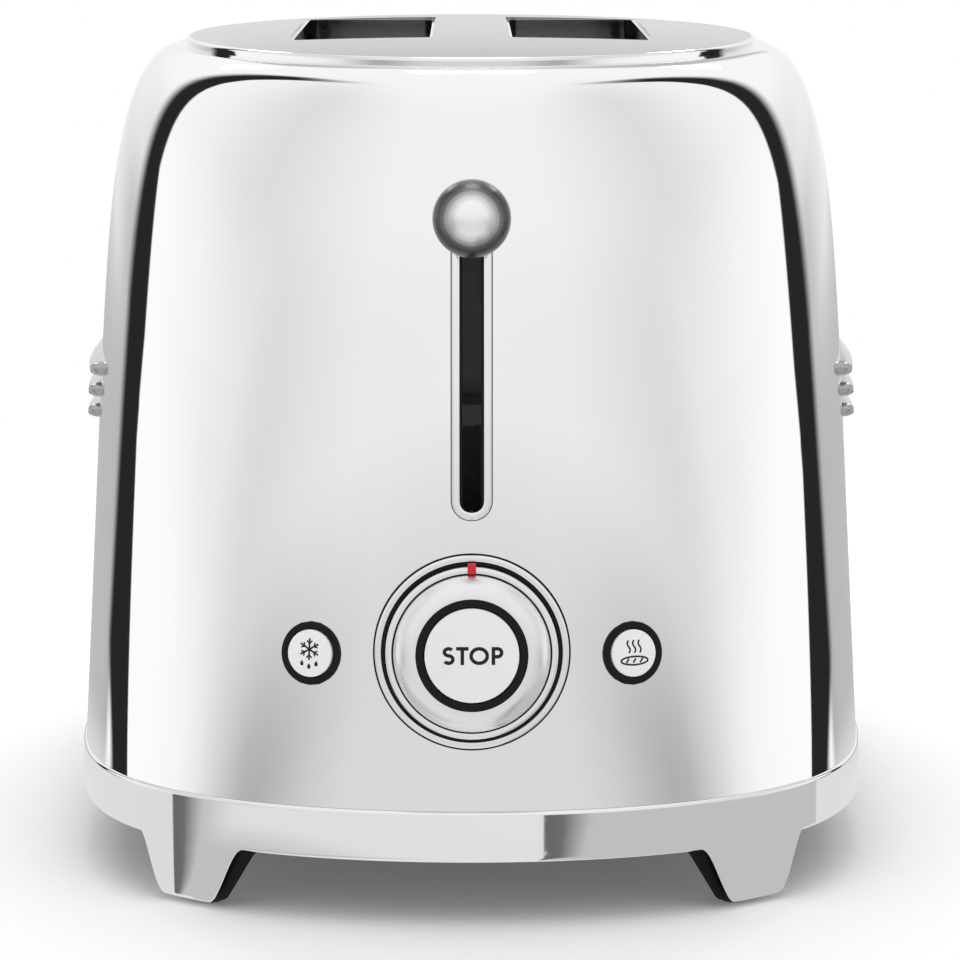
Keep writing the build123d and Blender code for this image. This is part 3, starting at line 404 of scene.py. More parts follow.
def ballWithPaintedReflection(name, centre, axis):
    # satin chrome whose colour carries a painted reflection round the lever's axis: pale at its front cap, a
    # painted dark ring beyond it, and pale again at its back
    material, tree = newMaterial(name)
    place = addNode(tree, "ShaderNodeTexCoord").outputs["Object"]
    away = addNode(tree, "ShaderNodeVectorMath", {1: centre}, {0: place}, operation="SUBTRACT")
    outward = addNode(tree, "ShaderNodeVectorMath", {}, {0: away.outputs[0]}, operation="NORMALIZE")
    along = addNode(tree, "ShaderNodeVectorMath", {1: axis}, {0: outward.outputs[0]}, operation="DOT_PRODUCT")
    share = addNode(tree, "ShaderNodeMapRange", {"From Min": -1.0}, {"Value": along.outputs["Value"]})
    shade = addNode(tree, "ShaderNodeValToRGB", {}, {"Fac": share.outputs[0]})
    shade.color_ramp.interpolation = "EASE"
    # painted reflection stops: pale front cap, dark ring about half to four fifths of the way round, pale
    # back
    placeStops(shade, (
        (0.0, "E6E6E8"), (0.33, "E0E0E2"), (0.5, "B0B0B2"), (0.58, "88888A"), (0.68, "5E5E60"),
        (0.77, "505052"), (0.835, "707072"), (0.885, "B4B4B6"), (0.925, "E2E2E4"), (0.96, "FFFFFF"),
    ))
    hair = addNode(tree, "ShaderNodeTexNoise", {"Scale": 1 / 0.0015, "Detail": 3.0}, {"Vector": place})
    rough = addNode(
        tree, "ShaderNodeMapRange", {"To Min": 0.3, "To Max": 0.36}, {"Value": hair.outputs["Fac"]}
    )
    shader = addNode(
        tree, "ShaderNodeBsdfPrincipled", {"Metallic": 1.0},
        {"Base Color": shade.outputs["Color"], "Roughness": rough.outputs[0]},
    )
    addNode(tree, "ShaderNodeOutputMaterial", links={"Surface": shader.outputs[0]})
    return material


bodySteel = mirrorSteel("mirror polished stainless steel", "FCFCFD", 0.028, 0.015)
trimSteel = mirrorSteel("polished stainless trim", "F6F6F7", 0.05, 0.015)
plateSteel = mirrorSteel("satin polished stainless plate", "C4C4C6", 0.15, 0.004, (0.95, 1.08))
knobChrome = mirrorSteel("satin chromed zinc casting", "F4F4F5", 0.3, 0.004, (0.9, 1.1))
# the bars' steel is darkened all over: painted shade standing in for their shaded sides
darkenedBarSteel = mirrorSteel("rolled trim bar darkened as painted shade", "B4B4B6", 0.09, 0.015)
galvanisedSheet = brushedSheet("galvanised steel sheet", "B9BBBD", 0.38, 0.0008)
drawnWire = brushedSheet("bright drawn steel wire", "C9C9CA", 0.25, 0.0006)
ribbonMetal = brushedSheet("rolled resistance ribbon", "8C8984", 0.45, 0.0006)
blackPlastic = mouldedPlastic("black moulded plastic", "0A0A0B", 0.42, 0.0007, 0.25, 0.2)
whitePlastic = mouldedPlastic("pale glossy plastic", "E6E6E6", 0.16, 0.0012, 0.05)
greySeal = mouldedPlastic("grey moulded seal", "6E6E70", 0.5, 0.0006, 0.1, 0.3)
redPlastic = mouldedPlastic("red glossy plastic", "C8102A", 0.2, 0.0010, 0.05)
footRubber = mouldedPlastic("black moulded rubber", "121212", 0.75, 0.0009, 0.5)
micaSheet = mouldedPlastic("pressed mica sheet", "B8AD98", 0.55, 0.0015, 0.4)
coilEnamel = mouldedPlastic("enamelled copper winding", "8A3B16", 0.3, 0.0006, 0.6)
boardLaminate = mouldedPlastic("solder-masked laminate", "1E5A36", 0.4, 0.0010, 0.1)
darkPrint = mouldedPlastic("dark pad print", "281A1C", 0.5, 0.0008, 0.05, 0.2)
print("materials made")

# finishes of the nodes that stay as they are
nodeFinishes = {
    galvanisedSheet: [
        "base_screws", "front_bulkhead", "rear_bulkhead", "reflector_left", "reflector_right", "carriage",
        "armature", "magnet", "lever_arm", "crumb_tray",
    ],
    drawnWire: [
        "rack_left_outer", "rack_left_inner", "rack_right_inner", "rack_right_outer", "guide_rods",
        "lifter_left", "lifter_right", "lift_spring",
    ],
    ribbonMetal: ["heater_ribbon_left", "heater_ribbon_center", "heater_ribbon_right"],
    blackPlastic: [
        "base_pan", "lever_guard", "knob_seat", "potentiometer", "stop_switch", "board_components",
        "defrost_switch", "reheat_switch", "tray_panel", "cord_gland", "terminal_block", "mains_leads",
    ],
    footRubber: ["foot_pads"],
    micaSheet: ["heater_board_left", "heater_board_center", "heater_board_right"],
    coilEnamel: ["magnet_coil"],
    boardLaminate: ["control_board"],
    trimSteel: ["slot_liner_left", "slot_liner_right"],
    redPlastic: ["knob_index"],
}
for finish, names in nodeFinishes.items():
    for name in names:
        for materialSlot in nodes[name].material_slots:
            materialSlot.material = finish
print("node finishes assigned")

# body shell: one pressed sheet, its openings cut into a grid of about 2 mm
bodyShell = {"perQuarter": 104, "levels": 104, "wall": 1.2, "deckRound": 1.5, "deck": 5.5}
holes = {
    "knob": {"plane": facePlane(0.0, 63.3), "radius": 22.5},
    "defrost": {"plane": facePlane(-36.75, 61.9), "radius": 7.35},
    "reheat": {"plane": facePlane(36.75, 61.9), "radius": 7.35},
}
leverSlot = {
    "bottom": 95.1, "top": 167.5, "width": 5.4, "round": 2.4, "lip": 0.4, "border": 1.8, "proud": 0.9,
    "seal": 0.3, "sealProud": 0.03,
}
traySlot = {"halfWidth": 62.6, "top": 36.0}


def holeDistance(x, z):
    # distance to the nearest of the front openings, negative inside one
    here = np.stack([x * mm, bodyMiddle - faceReach(x, z) * mm, z * mm], -1)
    distances = []
    for hole in holes.values():
        origin, across, up, normal = hole["plane"]
        away = here - origin
        distances.append(np.hypot(away @ across, away @ up) / mm - hole["radius"])
    middle, half = (leverSlot["bottom"] + leverSlot["top"]) / 2, (leverSlot["top"] - leverSlot["bottom"]) / 2
    slotHalf = (leverSlot["width"] / 2 + leverSlot["lip"], half + leverSlot["lip"])
    distances.append(roundedRect(x, z, (0, middle), slotHalf, 1.2))
    return np.where(np.abs(x) < 90, np.minimum.reduce(distances), 50.0)


def trayDistance(x, z):
    # distance to the crumb tray's opening, negative inside it
    return roundedRect(x, z, (0, 0), (traySlot["halfWidth"], traySlot["top"]), 1.0)


def shellRises():
    # shares of the height at equal steps of arc up the side and over the shoulder
    turn = np.linspace(0, np.pi / 2, 4000)
    rise = np.sin(turn) ** (2 / bodyShape["shoulderPower"])
    inset = bodyShape["sideShoulder"] * (1 - np.cos(turn))
    arc = np.concatenate([[0], np.cumsum(np.hypot(np.diff(rise) * bodyRise, np.diff(inset)))])
    return np.interp(np.linspace(0, arc[-1], bodyShell["levels"]), arc, rise)


rises = shellRises()
rings = [planRing(*sizesAt(rise), bodyShell["perQuarter"]) for rise in rises]
topA, topB, topF = sizesAt(1.0)
for inset in (bodyShell["deckRound"], bodyShell["deck"]):
    rings.append(planRing(topA - inset, topB - inset, topF, bodyShell["perQuarter"]))
rings = np.array(rings)
heights = bodyShape["foot"] + bodyRise * np.concatenate([rises, [1.0, 1.0]])
shellX, shellY = rings[:, :, 0], rings[:, :, 1]
shellZ = np.repeat(heights[:, None], shellX.shape[1], axis=1)
front = (shellY < -40) & (shellZ < 185)
rear = (shellY > 40) & (shellZ < 185)
frontX, frontZ, frontInside = snapToEdge(shellX, shellZ, holeDistance, True)
rearX, rearZ, rearInside = snapToEdge(shellX, shellZ, trayDistance, True)
frontInside, rearInside = frontInside & front, rearInside & rear
frontY, rearY = -faceReach(frontX, frontZ), faceReach(rearX, rearZ)
shellX = np.where(frontInside, frontX, np.where(rearInside, rearX, shellX))
shellY = np.where(frontInside, frontY, np.where(rearInside, rearY, shellY))
shellZ = np.where(frontInside, frontZ, np.where(rearInside, rearZ, shellZ))
shellNormals = bodyNormals(shellX, shellY, shellZ)
shellNormals[len(rises) - 1 :] = (0, 0, 1)
shellPoints = np.stack([shellX * mm, bodyMiddle + shellY * mm, shellZ * mm], -1).reshape(-1, 3)
shellFaces = keptFaces(shellX.shape[0], shellX.shape[1], [frontInside, rearInside], closeColumns=True)
shell = wallPiece(
    "bodyShell", shellPoints, shellNormals.reshape(-1, 3), shellFaces, bodyShell["wall"] * mm, bodySteel
)
dress(shell, "body_shell", "body")
print("body shell made")

# base skirt: a profile carried round the plan, its lower edge drawn down into four feet
skirtShape = {
    "halfWidth": 97.0, "halfLength": 155.0, "top": 26.9, "arch": 15.0, "foot": 1.5, "wall": 3.0,
    "endArch": (53.0, 61.2), "sideArch": (121.3, 128.3), "perQuarter": 400,
    "topRound": 0.9, "edgeRound": 1.0, "lip": 2.0, "innerTop": 1.0,
}


def footShare(distance, span):
    # smooth step from the arch down to the foot
    t = np.clip((distance - span[0]) / (span[1] - span[0]), 0, 1)
    return t * t * (3 - 2 * t)


skirtPlan = planRing(
    skirtShape["halfWidth"], skirtShape["halfLength"], bodyShape["footFlatness"], skirtShape["perQuarter"]
)
archDepth = skirtShape["top"] - skirtShape["arch"]
# (inset, depth): top inside, top outside, bottom outside, bottom inside and up the inside
skirtProfile = roundedProfile([
    (skirtShape["lip"], 0.0, 0),
    (0.0, 0.0, skirtShape["topRound"]),
    (0.0, archDepth, skirtShape["edgeRound"]),
    (skirtShape["wall"], archDepth, skirtShape["edgeRound"]),
    (skirtShape["wall"], skirtShape["innerTop"], 0),
])
following, before = np.roll(skirtPlan, -1, axis=0), np.roll(skirtPlan, 1, axis=0)
outward = unit(np.stack([following[:, 1] - before[:, 1], before[:, 0] - following[:, 0]], -1))
inset, depth = skirtProfile[:, 0], skirtProfile[:, 1]
skirtXY = skirtPlan[:, None, :] - outward[:, None, :] * inset[None, :, None]
# the arches are cut straight through the wall, along it and across it
acrossShare = footShare(np.abs(skirtXY[..., 0]), skirtShape["endArch"])
alongShare = footShare(np.abs(skirtXY[..., 1]), skirtShape["sideArch"])
lowEdge = skirtShape["arch"] - (skirtShape["arch"] - skirtShape["foot"]) * acrossShare * alongShare
fullDepth = skirtShape["top"] - lowEdge
# what lies in the profile's lower half keeps its distance from the lower edge
depth = depth[None, :]
skirtDepth = np.where(depth > archDepth / 2, fullDepth - (archDepth - depth), depth)
skirtPoints = np.stack(
    [skirtXY[..., 0] * mm, bodyMiddle + skirtXY[..., 1] * mm, (skirtShape["top"] - skirtDepth) * mm], -1
)
skirtFaces = gridFaces(len(skirtPlan), len(inset), closeRows=True)
skirt = addPiece("baseSkirt", skirtPoints.reshape(-1, 3), skirtFaces, trimSteel, crisp=40)
dress(skirt, "base_skirt", "body")
print("base skirt made")

# top plate: crowned oval with two bread slots and a rolled rim
plateShape = {
    "halfWidth": 72.6, "halfLength": 122.9, "seat": 194.3, "rim": 2.2, "crown": 2.0, "edge": 0.9,
    "slotHalf": (17.5, 64.0), "slotAt": 27.0, "slotMiddle": 8.0, "slotRound": 3.0, "cell": 1.5, "sheet": 1.0,
}
plateTop = plateShape["seat"] + plateShape["rim"]
flatHalf = np.array([plateShape["halfWidth"], plateShape["halfLength"]]) - 1


def crownHeight(x, y):
    # the plate's height: its flat plus crown (1 - (x/a)^2 - (y/b)^2)
    share = 1 - (x / flatHalf[0]) ** 2 - (y / flatHalf[1]) ** 2
    return plateTop + plateShape["crown"] * np.clip(share, 0, None)


def outsidePlate(x, y):
    # distance to the flat's oval outline, negative beyond it
    size = np.hypot(x / flatHalf[0], y / flatHalf[1]) + 1e-9
    return (1 - size) * size / np.hypot(x / flatHalf[0] ** 2, y / flatHalf[1] ** 2).clip(1e-6)


def breadSlots(x, y):
    # distance to the nearer bread slot, negative inside it
    return np.minimum(*[
        roundedRect(
            x, y, (side * plateShape["slotAt"], plateShape["slotMiddle"]), plateShape["slotHalf"],
            plateShape["slotRound"],
        )
        for side in (-1, 1)
    ])


plateSteps = [np.arange(-half - 3, half + 3, plateShape["cell"]) for half in flatHalf]
plateU, plateV = np.meshgrid(*plateSteps, indexing="ij")
plateX, plateY, beyond = snapToEdge(plateU, plateV, outsidePlate, False)
plateX, plateY, inSlot = snapToEdge(plateX, plateY, breadSlots, False)
platePoints = np.stack([plateX * mm, bodyMiddle + plateY * mm, crownHeight(plateX, plateY) * mm], -1)
plateSlopes = [2 * plateShape["crown"] * place / half**2 for place, half in zip((plateX, plateY), flatHalf)]
plateNormals = np.stack([*plateSlopes, np.ones_like(plateX)], -1)
plateFaces = keptFaces(plateU.shape[0], plateU.shape[1], [beyond, inSlot], closeColumns=False)[:, ::-1]
plate = wallPiece(
    "topPlate", platePoints.reshape(-1, 3), plateNormals.reshape(-1, 3), plateFaces,
    plateShape["sheet"] * mm, plateSteel,
)
rimProfile = roundedProfile([
    (1.0, plateTop, 0), (0.0, plateTop, plateShape["edge"]), (0.0, plateShape["seat"], 0),
    (1.6, plateShape["seat"], 0),
])
angle = np.linspace(0, 2 * np.pi, 360, endpoint=False)[:, None]
rimInset, rimHeight = rimProfile[None, :, 0], rimProfile[None, :, 1]
rimPoints = np.stack([
    (plateShape["halfWidth"] - rimInset) * np.cos(angle) * mm,
    bodyMiddle + (plateShape["halfLength"] - rimInset) * np.sin(angle) * mm,
    np.repeat(rimHeight, len(angle), axis=0) * mm,
], -1)
rimFaces = gridFaces(len(angle), len(rimProfile), closeRows=True)
plateRim = addPiece("topPlateRim", rimPoints.reshape(-1, 3), rimFaces, trimSteel, crisp=40)
for piece in (plate, plateRim):
    dress(piece, "top_plate", "body")
print("top plate made")

# lever: ball on its neck, and the frame round its slot
leverBall = {
    "radius": 8.75, "neck": 3.6, "bore": 2.0, "height": 162.8, "ahead": 161.25, "neckEnd": 8.75, "tilt": 5.0,
}
ballCentre = np.array([0, bodyMiddle - leverBall["ahead"] * mm, leverBall["height"] * mm])
ballPlane = (ballCentre, np.array([1.0, 0, 0]), np.array([0, 0, 1.0]), np.array([0, -1.0, 0]))
sweep = np.linspace(0, np.pi - math.asin(leverBall["neck"] / leverBall["radius"]), 72)
ballProfile = leverBall["radius"] * np.stack([np.sin(sweep), np.cos(sweep)], -1)
neckRim = [[leverBall["neck"], -leverBall["neckEnd"]], [leverBall["bore"], -leverBall["neckEnd"]]]
ballProfile = np.concatenate([ballProfile, neckRim])
tilt = math.radians(leverBall["tilt"])
paintedReflectionChrome = ballWithPaintedReflection("satin chrome with painted reflection", ballCentre.tolist(), (0, -math.cos(tilt), math.sin(tilt)))
ball = turnedPiece("leverBall", ballProfile, ballPlane, paintedReflectionChrome, segments=144)
dress(ball, "lever_ball", "carriage")


def loopRound(centre, half, radius, perCorner=10, perSide=40):
    # a rounded rectangle's points, anticlockwise, denser than the body's grid
    points = []
    corners = [
        (half[0], half[1], 0), (-half[0], half[1], 90), (-half[0], -half[1], 180), (half[0], -half[1], 270),
    ]
    for index, (x, z, start) in enumerate(corners):
        arcAngles = np.radians(start + np.linspace(0, 90, perCorner))
        arcCentre = np.array([x - math.copysign(radius, x), z - math.copysign(radius, z)])
        points.append(arcCentre + radius * np.stack([np.cos(arcAngles), np.sin(arcAngles)], -1))
        nextX, nextZ, nextStart = corners[(index + 1) % 4]
        nextAngle = math.radians(nextStart)
        nextCentre = np.array([nextX - math.copysign(radius, nextX), nextZ - math.copysign(radius, nextZ)])
        run = nextCentre + radius * np.array([math.cos(nextAngle), math.sin(nextAngle)])
        points.append(points[-1][-1] + (run - points[-1][-1]) * np.linspace(0, 1, perSide)[1:-1, None])
    return np.concatenate(points) + np.array(centre)


slotCentre = (0, (leverSlot["bottom"] + leverSlot["top"]) / 2)
slotHalf = np.array([leverSlot["width"] / 2, (leverSlot["top"] - leverSlot["bottom"]) / 2])


def slotRing(name, profile, material, crisp=None):
    # a profile (outset, height over the face) carried round the lever's slot
    rings = []
    for outset, height in profile:
        loop = loopRound(slotCentre, slotHalf + outset, leverSlot["round"] + outset)
        reach = faceReach(loop[:, 0], loop[:, 1]) + height
        rings.append(np.stack([loop[:, 0] * mm, bodyMiddle - reach * mm, loop[:, 1] * mm], -1))
    faces = gridFaces(len(rings), len(rings[0]), closeColumns=True)
    return addPiece(name, np.concatenate(rings), faces, material, crisp=crisp)


border, proud, sealProud = leverSlot["border"], leverSlot["proud"], leverSlot["sealProud"]
frameProfile = roundedProfile([
    (0.0, -2.4, 0), (0.0, proud, 0.35), (border, proud, 0.5), (border, -0.2, 0),
], steps=5)
sealProfile = [(border - 0.1, sealProud), (border + leverSlot["seal"], sealProud)]
slotFrame = slotRing("leverFrame", frameProfile, trimSteel, 40)
slotSeal = slotRing("leverFrameSeal", sealProfile, greySeal)
dress(slotFrame, "lever_frame", "body")
dress(slotSeal, "lever_frame", "body")
print("lever made")

# knob, bezel and stop button, all turned about the face's normal
panel = facePlane(0.0, 63.3)
knobShape = {
    "radius": 19.6, "step": 3.9, "front": 8.5, "ring": 12.75, "stop": 10.7, "flange": 1.4, "groove": 0.35,
    "bezel": (20.6, 22.1), "bezelProud": 0.7, "back": -4.5, "crown": 0.42, "gap": 0.25,
}
knobRadius, frontFace = knobShape["radius"], knobShape["front"]
domeStart = knobRadius - knobShape["flange"] - knobShape["groove"]
step, ring, stop = knobShape["step"], knobShape["ring"], knobShape["stop"]
bezelIn, bezelOut = knobShape["bezel"]
proud, back = knobShape["bezelProud"], knobShape["back"]
bezel = turnedPiece("knobBezel", roundedProfile([
    (bezelIn, back, 0), (bezelIn, proud, 0.3), (bezelOut, proud, 0.45), (bezelOut, back, 0),
    (bezelIn, back, 0),
]), panel, trimSteel, 192)
gasket = turnedPiece("bezelGasket", roundedProfile([
    (bezelOut - 0.1, 0.02, 0), (bezelOut + 0.38, 0.02, 0), (bezelOut + 0.38, -1.0, 0),
    (bezelOut - 0.1, -1.0, 0), (bezelOut - 0.1, 0.02, 0),
]), panel, blackPlastic, 192)
seal = turnedPiece("bezelSeal", roundedProfile([
    (bezelIn - 0.82, -1.4, 0), (bezelIn - 0.82, 0.3, 0.1), (bezelIn - 0.02, 0.3, 0.1),
    (bezelIn - 0.02, -1.4, 0), (bezelIn - 0.82, -1.4, 0),
]), panel, blackPlastic, 192)
domeTurn = np.linspace(0, 1, 24)
domeRadius = domeStart - (domeStart - ring) * domeTurn**1.5
domeHeight = step + 0.2 + (frontFace - step - 0.2) * (1 - (1 - domeTurn) ** 2.2)
knobProfile = np.concatenate([
    roundedProfile([
        (knobRadius - 2, -1.5, 0), (knobRadius, -1.5, 0.2), (knobRadius, step, 0.6),
        (domeStart + knobShape["groove"], step, 0.12), (domeStart + knobShape["groove"], step - 0.5, 0),
        (domeStart, step - 0.5, 0),
    ], 5),
    np.stack([domeRadius, domeHeight], -1),
    [[ring, frontFace - 1.0]],
])
knob = turnedPiece("controlKnob", knobProfile, panel, knobChrome, 192)
# a black ring at the bottom of the groove between flange and dome: a painted shadow
grooveShadow = turnedPiece("knobGrooveShadow", np.array([
    [domeStart + knobShape["groove"] + 0.02, step - 0.3], [domeStart - 0.02, step - 0.3],
]), panel, blackPlastic, 192)
knobRing = turnedPiece("knobRing", roundedProfile([
    (ring, frontFace - 1.0, 0), (ring, frontFace + 0.1, 0.15),
    (stop + knobShape["gap"], frontFace + 0.1, 0.15), (stop + knobShape["gap"], frontFace - 3.0, 0),
]), panel, blackPlastic, 160)


def stopCrown(radius):
    # height of the stop button's shallow crown at a radius
    return frontFace + knobShape["crown"] * (1 - 0.45 * (radius / stop) ** 2)


crownRadii = np.linspace(0, stop * 0.9, 8)
stopProfile = np.concatenate([
    np.stack([crownRadii, stopCrown(crownRadii)], -1),
    roundedProfile([
        (stop * 0.93, stopCrown(stop * 0.93), 0), (stop, stopCrown(stop), 0.35), (stop, frontFace - 2.0, 0),
        (3.0, frontFace - 2.0, 0),
    ]),
])
stopButton = turnedPiece("stopButton", stopProfile[::-1], panel, whitePlastic, 160)
dress(bezel, "knob_bezel", "body")
dress(gasket, "knob_bezel", "body")
dress(seal, "knob_bezel", "body")
dress(knob, "control_knob", "knob")
dress(grooveShadow, "control_knob", "knob")
dress(knobRing, "knob_ring", "knob")
dress(stopButton, "stop_button", "stop_button")

programButtons = {
    "places": {"defrost": -36.75, "reheat": 36.75}, "height": 61.9, "radius": 5.45, "collar": (5.65, 7.25),
    "proud": 1.1, "collarProud": 0.5,
}


def buttonCrown(radius):
    # height of a program button's crown, falling with the square of the radius
    return programButtons["proud"] - 0.18 * (radius / programButtons["radius"]) ** 2


buttonPlanes = {}
for name, x in programButtons["places"].items():
    plane = buttonPlanes[name] = facePlane(x, programButtons["height"])
    (collarIn, collarOut), lift = programButtons["collar"], programButtons["collarProud"]
    collar = turnedPiece(f"{name}Collar", roundedProfile([
        (collarIn, -4.0, 0), (collarIn, lift, 0.25), (collarOut, lift, 0.35), (collarOut, -4.0, 0),
        (collarIn, -4.0, 0),
    ]), plane, blackPlastic, 112)
    edge = programButtons["radius"]
    crownRadii = np.linspace(0, edge * 0.85, 6)
    buttonProfile = np.concatenate([
        np.stack([crownRadii, buttonCrown(crownRadii)], -1),
        roundedProfile([
            (edge * 0.9, buttonCrown(edge * 0.9), 0), (edge, buttonCrown(edge), 0.4), (edge, -1.8, 0),
            (3.0, -1.8, 0),
        ]),
    ])
    button = turnedPiece(f"{name}Button", buttonProfile[::-1], plane, whitePlastic, 112)
    dress(collar, f"{name}_collar", "body")
    dress(button, f"{name}_button", f"{name}_button")
print("controls made")


# pad prints: the word on the stop button and the two program signs
def arcPath(centre, radii, start, end, steps=24):
    # points along an upright ellipse between two angles in degrees
    turn = np.radians(np.linspace(start, end, steps))
    return np.stack([centre[0] + radii[0] * np.cos(turn), centre[1] + radii[1] * np.sin(turn)], -1)


def linePath(*places):
    return np.array(places, float)


def printPiece(name, strokes, blobs, plane, crown, ink=0.03):
    # strokes (path, width) become flat ribbons, and blobs (outline) filled spots, laid on the crown: each is
    # four rows of points, two on the ink's face and two under it, joined into a closed slab
    origin, across, up, normal = plane
    points, faces, count = [], [], 0
    slabs = []
    for path, width in strokes:
        ahead = unit(np.gradient(path, axis=0))
        aside = np.stack([-ahead[:, 1], ahead[:, 0]], -1) * width / 2
        slabs.append((np.stack([path + aside, path - aside, path - aside, path + aside]), False))
    for outline in blobs:
        middle = np.repeat(outline.mean(axis=0, keepdims=True), len(outline), axis=0)
        slabs.append((np.stack([middle, outline, outline, middle]), True))
    for rows, isBlob in slabs:
        lift = crown(np.hypot(rows[..., 0], rows[..., 1])) + np.array([ink, ink, -ink, -ink])[:, None]
        placed = origin + (rows[..., :1] * across + rows[..., 1:] * up + lift[..., None] * normal) * mm
        size = rows.shape[1]
        points.append(placed.reshape(-1, 3))
        faces.append(gridFaces(4, size, closeRows=not isBlob, closeColumns=isBlob) + count)
        if not isBlob:
            rowStarts = np.arange(4) * size
            faces.append(np.array([rowStarts, rowStarts[::-1] + size - 1]) + count)
        count += 4 * size
    points, faces = np.concatenate(points), np.concatenate(faces)
    return addPiece(name, points, faces, darkPrint, smooth=False, outward=True)


# the word STOP in even strokes: capitals 4.1 mm high
letter = {"half": 1.64, "stroke": 0.8, "S": -5.25, "T": -2.15, "O": 1.65, "P": 4.85}
half = letter["half"]
wordPaths = [
    np.concatenate([
        arcPath((letter["S"], 0.86), (0.95, 0.78), 38, 245, 20),
        arcPath((letter["S"], -0.80), (0.98, 0.84), 65, -148, 20),
    ]),
    linePath((letter["T"] - 1.4, half), (letter["T"] + 1.4, half)),
    linePath((letter["T"], half), (letter["T"], -half - 0.4)),
    arcPath((letter["O"], 0), (1.82, half), 0, 360, 48),
    linePath((letter["P"], half + 0.4), (letter["P"], -half - 0.4)),
    np.concatenate([
        linePath((letter["P"], half), (letter["P"] + 0.9, half)),
        arcPath((letter["P"] + 0.95, half - 0.9), (0.9, 0.9), 90, -90, 16),
        linePath((letter["P"] + 0.9, half - 1.8), (letter["P"], half - 1.8)),
    ]),
]
stopWord = printPiece("stopWord", [(path, letter["stroke"]) for path in wordPaths], [], panel, stopCrown)
dress(stopWord, "stop_button", "stop_button")

# defrost: a six-armed flake over three drops; reheat: three rising waves over a scored loaf
flake = {"middle": (0, 0.95), "arm": 2.5, "fork": 0.52, "branch": 0.95, "stroke": 0.42, "fine": 0.34}
flakePaths = []
for turn in np.radians(np.arange(0, 360, 60) + 90):
    ahead = np.array([math.cos(turn), math.sin(turn)])
    middle = np.array(flake["middle"])
    flakePaths.append((np.stack([middle, middle + ahead * flake["arm"]]), flake["stroke"]))
    for lean in np.radians((-45, 45)):
        sideways = np.array([math.cos(turn + lean), math.sin(turn + lean)])
        fork = middle + ahead * flake["arm"] * flake["fork"]
        flakePaths.append((np.stack([fork, fork + sideways * flake["branch"]]), flake["fine"]))
dropTurn = np.linspace(0, 2 * np.pi, 20, endpoint=False)
dropRise = np.sin(dropTurn)
dropOutline = np.stack([0.42 * np.cos(dropTurn), dropRise * np.where(dropRise > 0, 0.85, 0.45)], -1)
dropOutline[:, 0] *= np.where(dropRise > 0, 1 - dropRise**2 * 0.75, 1)  # a round belly and a slim tip
drops = [dropOutline + np.array(place) for place in ((-1.75, -2.45), (0, -3.1), (1.75, -2.45))]
flakeSign = printPiece("defrostSign", flakePaths, drops, buttonPlanes["defrost"], buttonCrown)
dress(flakeSign, "defrost_button", "defrost_button")

waveRise = np.linspace(0, 1, 20)
loaf = {"middle": (0, -1.7), "half": (3.3, 0.95), "stroke": 0.4}
waveSwing = 0.32 * np.sin(waveRise * 2 * np.pi)
wavePaths = [
    (np.stack([x + waveSwing, 0.1 + 2.9 * waveRise], -1), loaf["stroke"]) for x in (-1.35, 0, 1.35)
]
wavePaths.append((arcPath(loaf["middle"], loaf["half"], 0, 360, 48), loaf["stroke"]))
for x in (-1.7, 0, 1.7):
    score = linePath((x - 0.35, loaf["middle"][1] - 0.45), (x + 0.35, loaf["middle"][1] + 0.5))
    wavePaths.append((score, loaf["stroke"]))
waveSign = printPiece("reheatSign", wavePaths, [], buttonPlanes["reheat"], buttonCrown)
dress(waveSign, "reheat_button", "reheat_button")
print("prints made")

# side trims: three soft-edged raised bars on each flank
trimBars = {
    "heights": (103.3, 109.5, 115.7), "halves": (34.0, 42.0, 50.0), "halfHeight": 1.7, "proud": 3.0,
    "round": 1.2,
}
for side, sign in (("left", -1), ("right", 1)):
    points, faces, count = [], [], 0
    for height, half in zip(trimBars["heights"], trimBars["halves"]):
        wallShares = np.linspace(0, 0.25, 4, endpoint=False)
        faceShares = 0.25 + 1.75 * (1 - np.cos(np.linspace(0, np.pi / 2, 10)))
        loops = []
        # rings climb the wall, then turn over its edge
        for inset in np.concatenate([wallShares, faceShares]):
            climb = 1 if inset >= trimBars["round"] else math.sqrt(1 - (1 - inset / trimBars["round"]) ** 2)
            size = np.array([half, trimBars["halfHeight"]]) - min(inset, trimBars["halfHeight"] - 0.01)
            corner = max(min(trimBars["round"], size[1]) - 0.0005, 0.0005)
            loop = loopRound((0, height), size, corner, 6, 30)
            out = sideReach(loop[:, 0], loop[:, 1]) + trimBars["proud"] * climb
            loops.append(np.stack([sign * out * mm, bodyMiddle + loop[:, 0] * mm, loop[:, 1] * mm], -1))
        bar = np.stack(loops)
        points.append(bar.reshape(-1, 3))
        faces.append(gridFaces(bar.shape[0], bar.shape[1], closeColumns=True)[:, :: -sign] + count)
        count += bar.shape[0] * bar.shape[1]
    trim = addPiece(f"sideTrim{side.capitalize()}", np.concatenate(points), np.concatenate(faces), darkenedBarSteel)
    dress(trim, f"side_trim_{side}", "body")
print("side trims made")


# studio: a pale table under a white tent, with a dark slot behind each shoulder of the toaster
studioTurn = math.radians(2.0)  # the tent stands a little askew to the toaster


def bearingOf(tree, x, y):
    # share of the half turn from straight ahead of the toaster: atan2(|x|, -y) / pi
    aside = addNode(tree, "ShaderNodeMath", {}, {0: x}, operation="ABSOLUTE")
    ahead = addNode(tree, "ShaderNodeMath", {1: -1.0}, {0: y}, operation="MULTIPLY")
    turn = addNode(
        tree, "ShaderNodeMath", {}, {0: aside.outputs[0], 1: ahead.outputs[0]}, operation="ARCTAN2"
    )
    return addNode(tree, "ShaderNodeMath", {1: math.pi}, {0: turn.outputs[0]}, operation="DIVIDE").outputs[0]


def eased(tree, value, start, end, low=0.0, high=1.0):
    # smooth step of a value from start to end
    return addNode(
        tree, "ShaderNodeMapRange", {"From Min": start, "From Max": end, "To Min": low, "To Max": high},
        {"Value": value}, interpolation_type="SMOOTHSTEP",
    ).outputs[0]


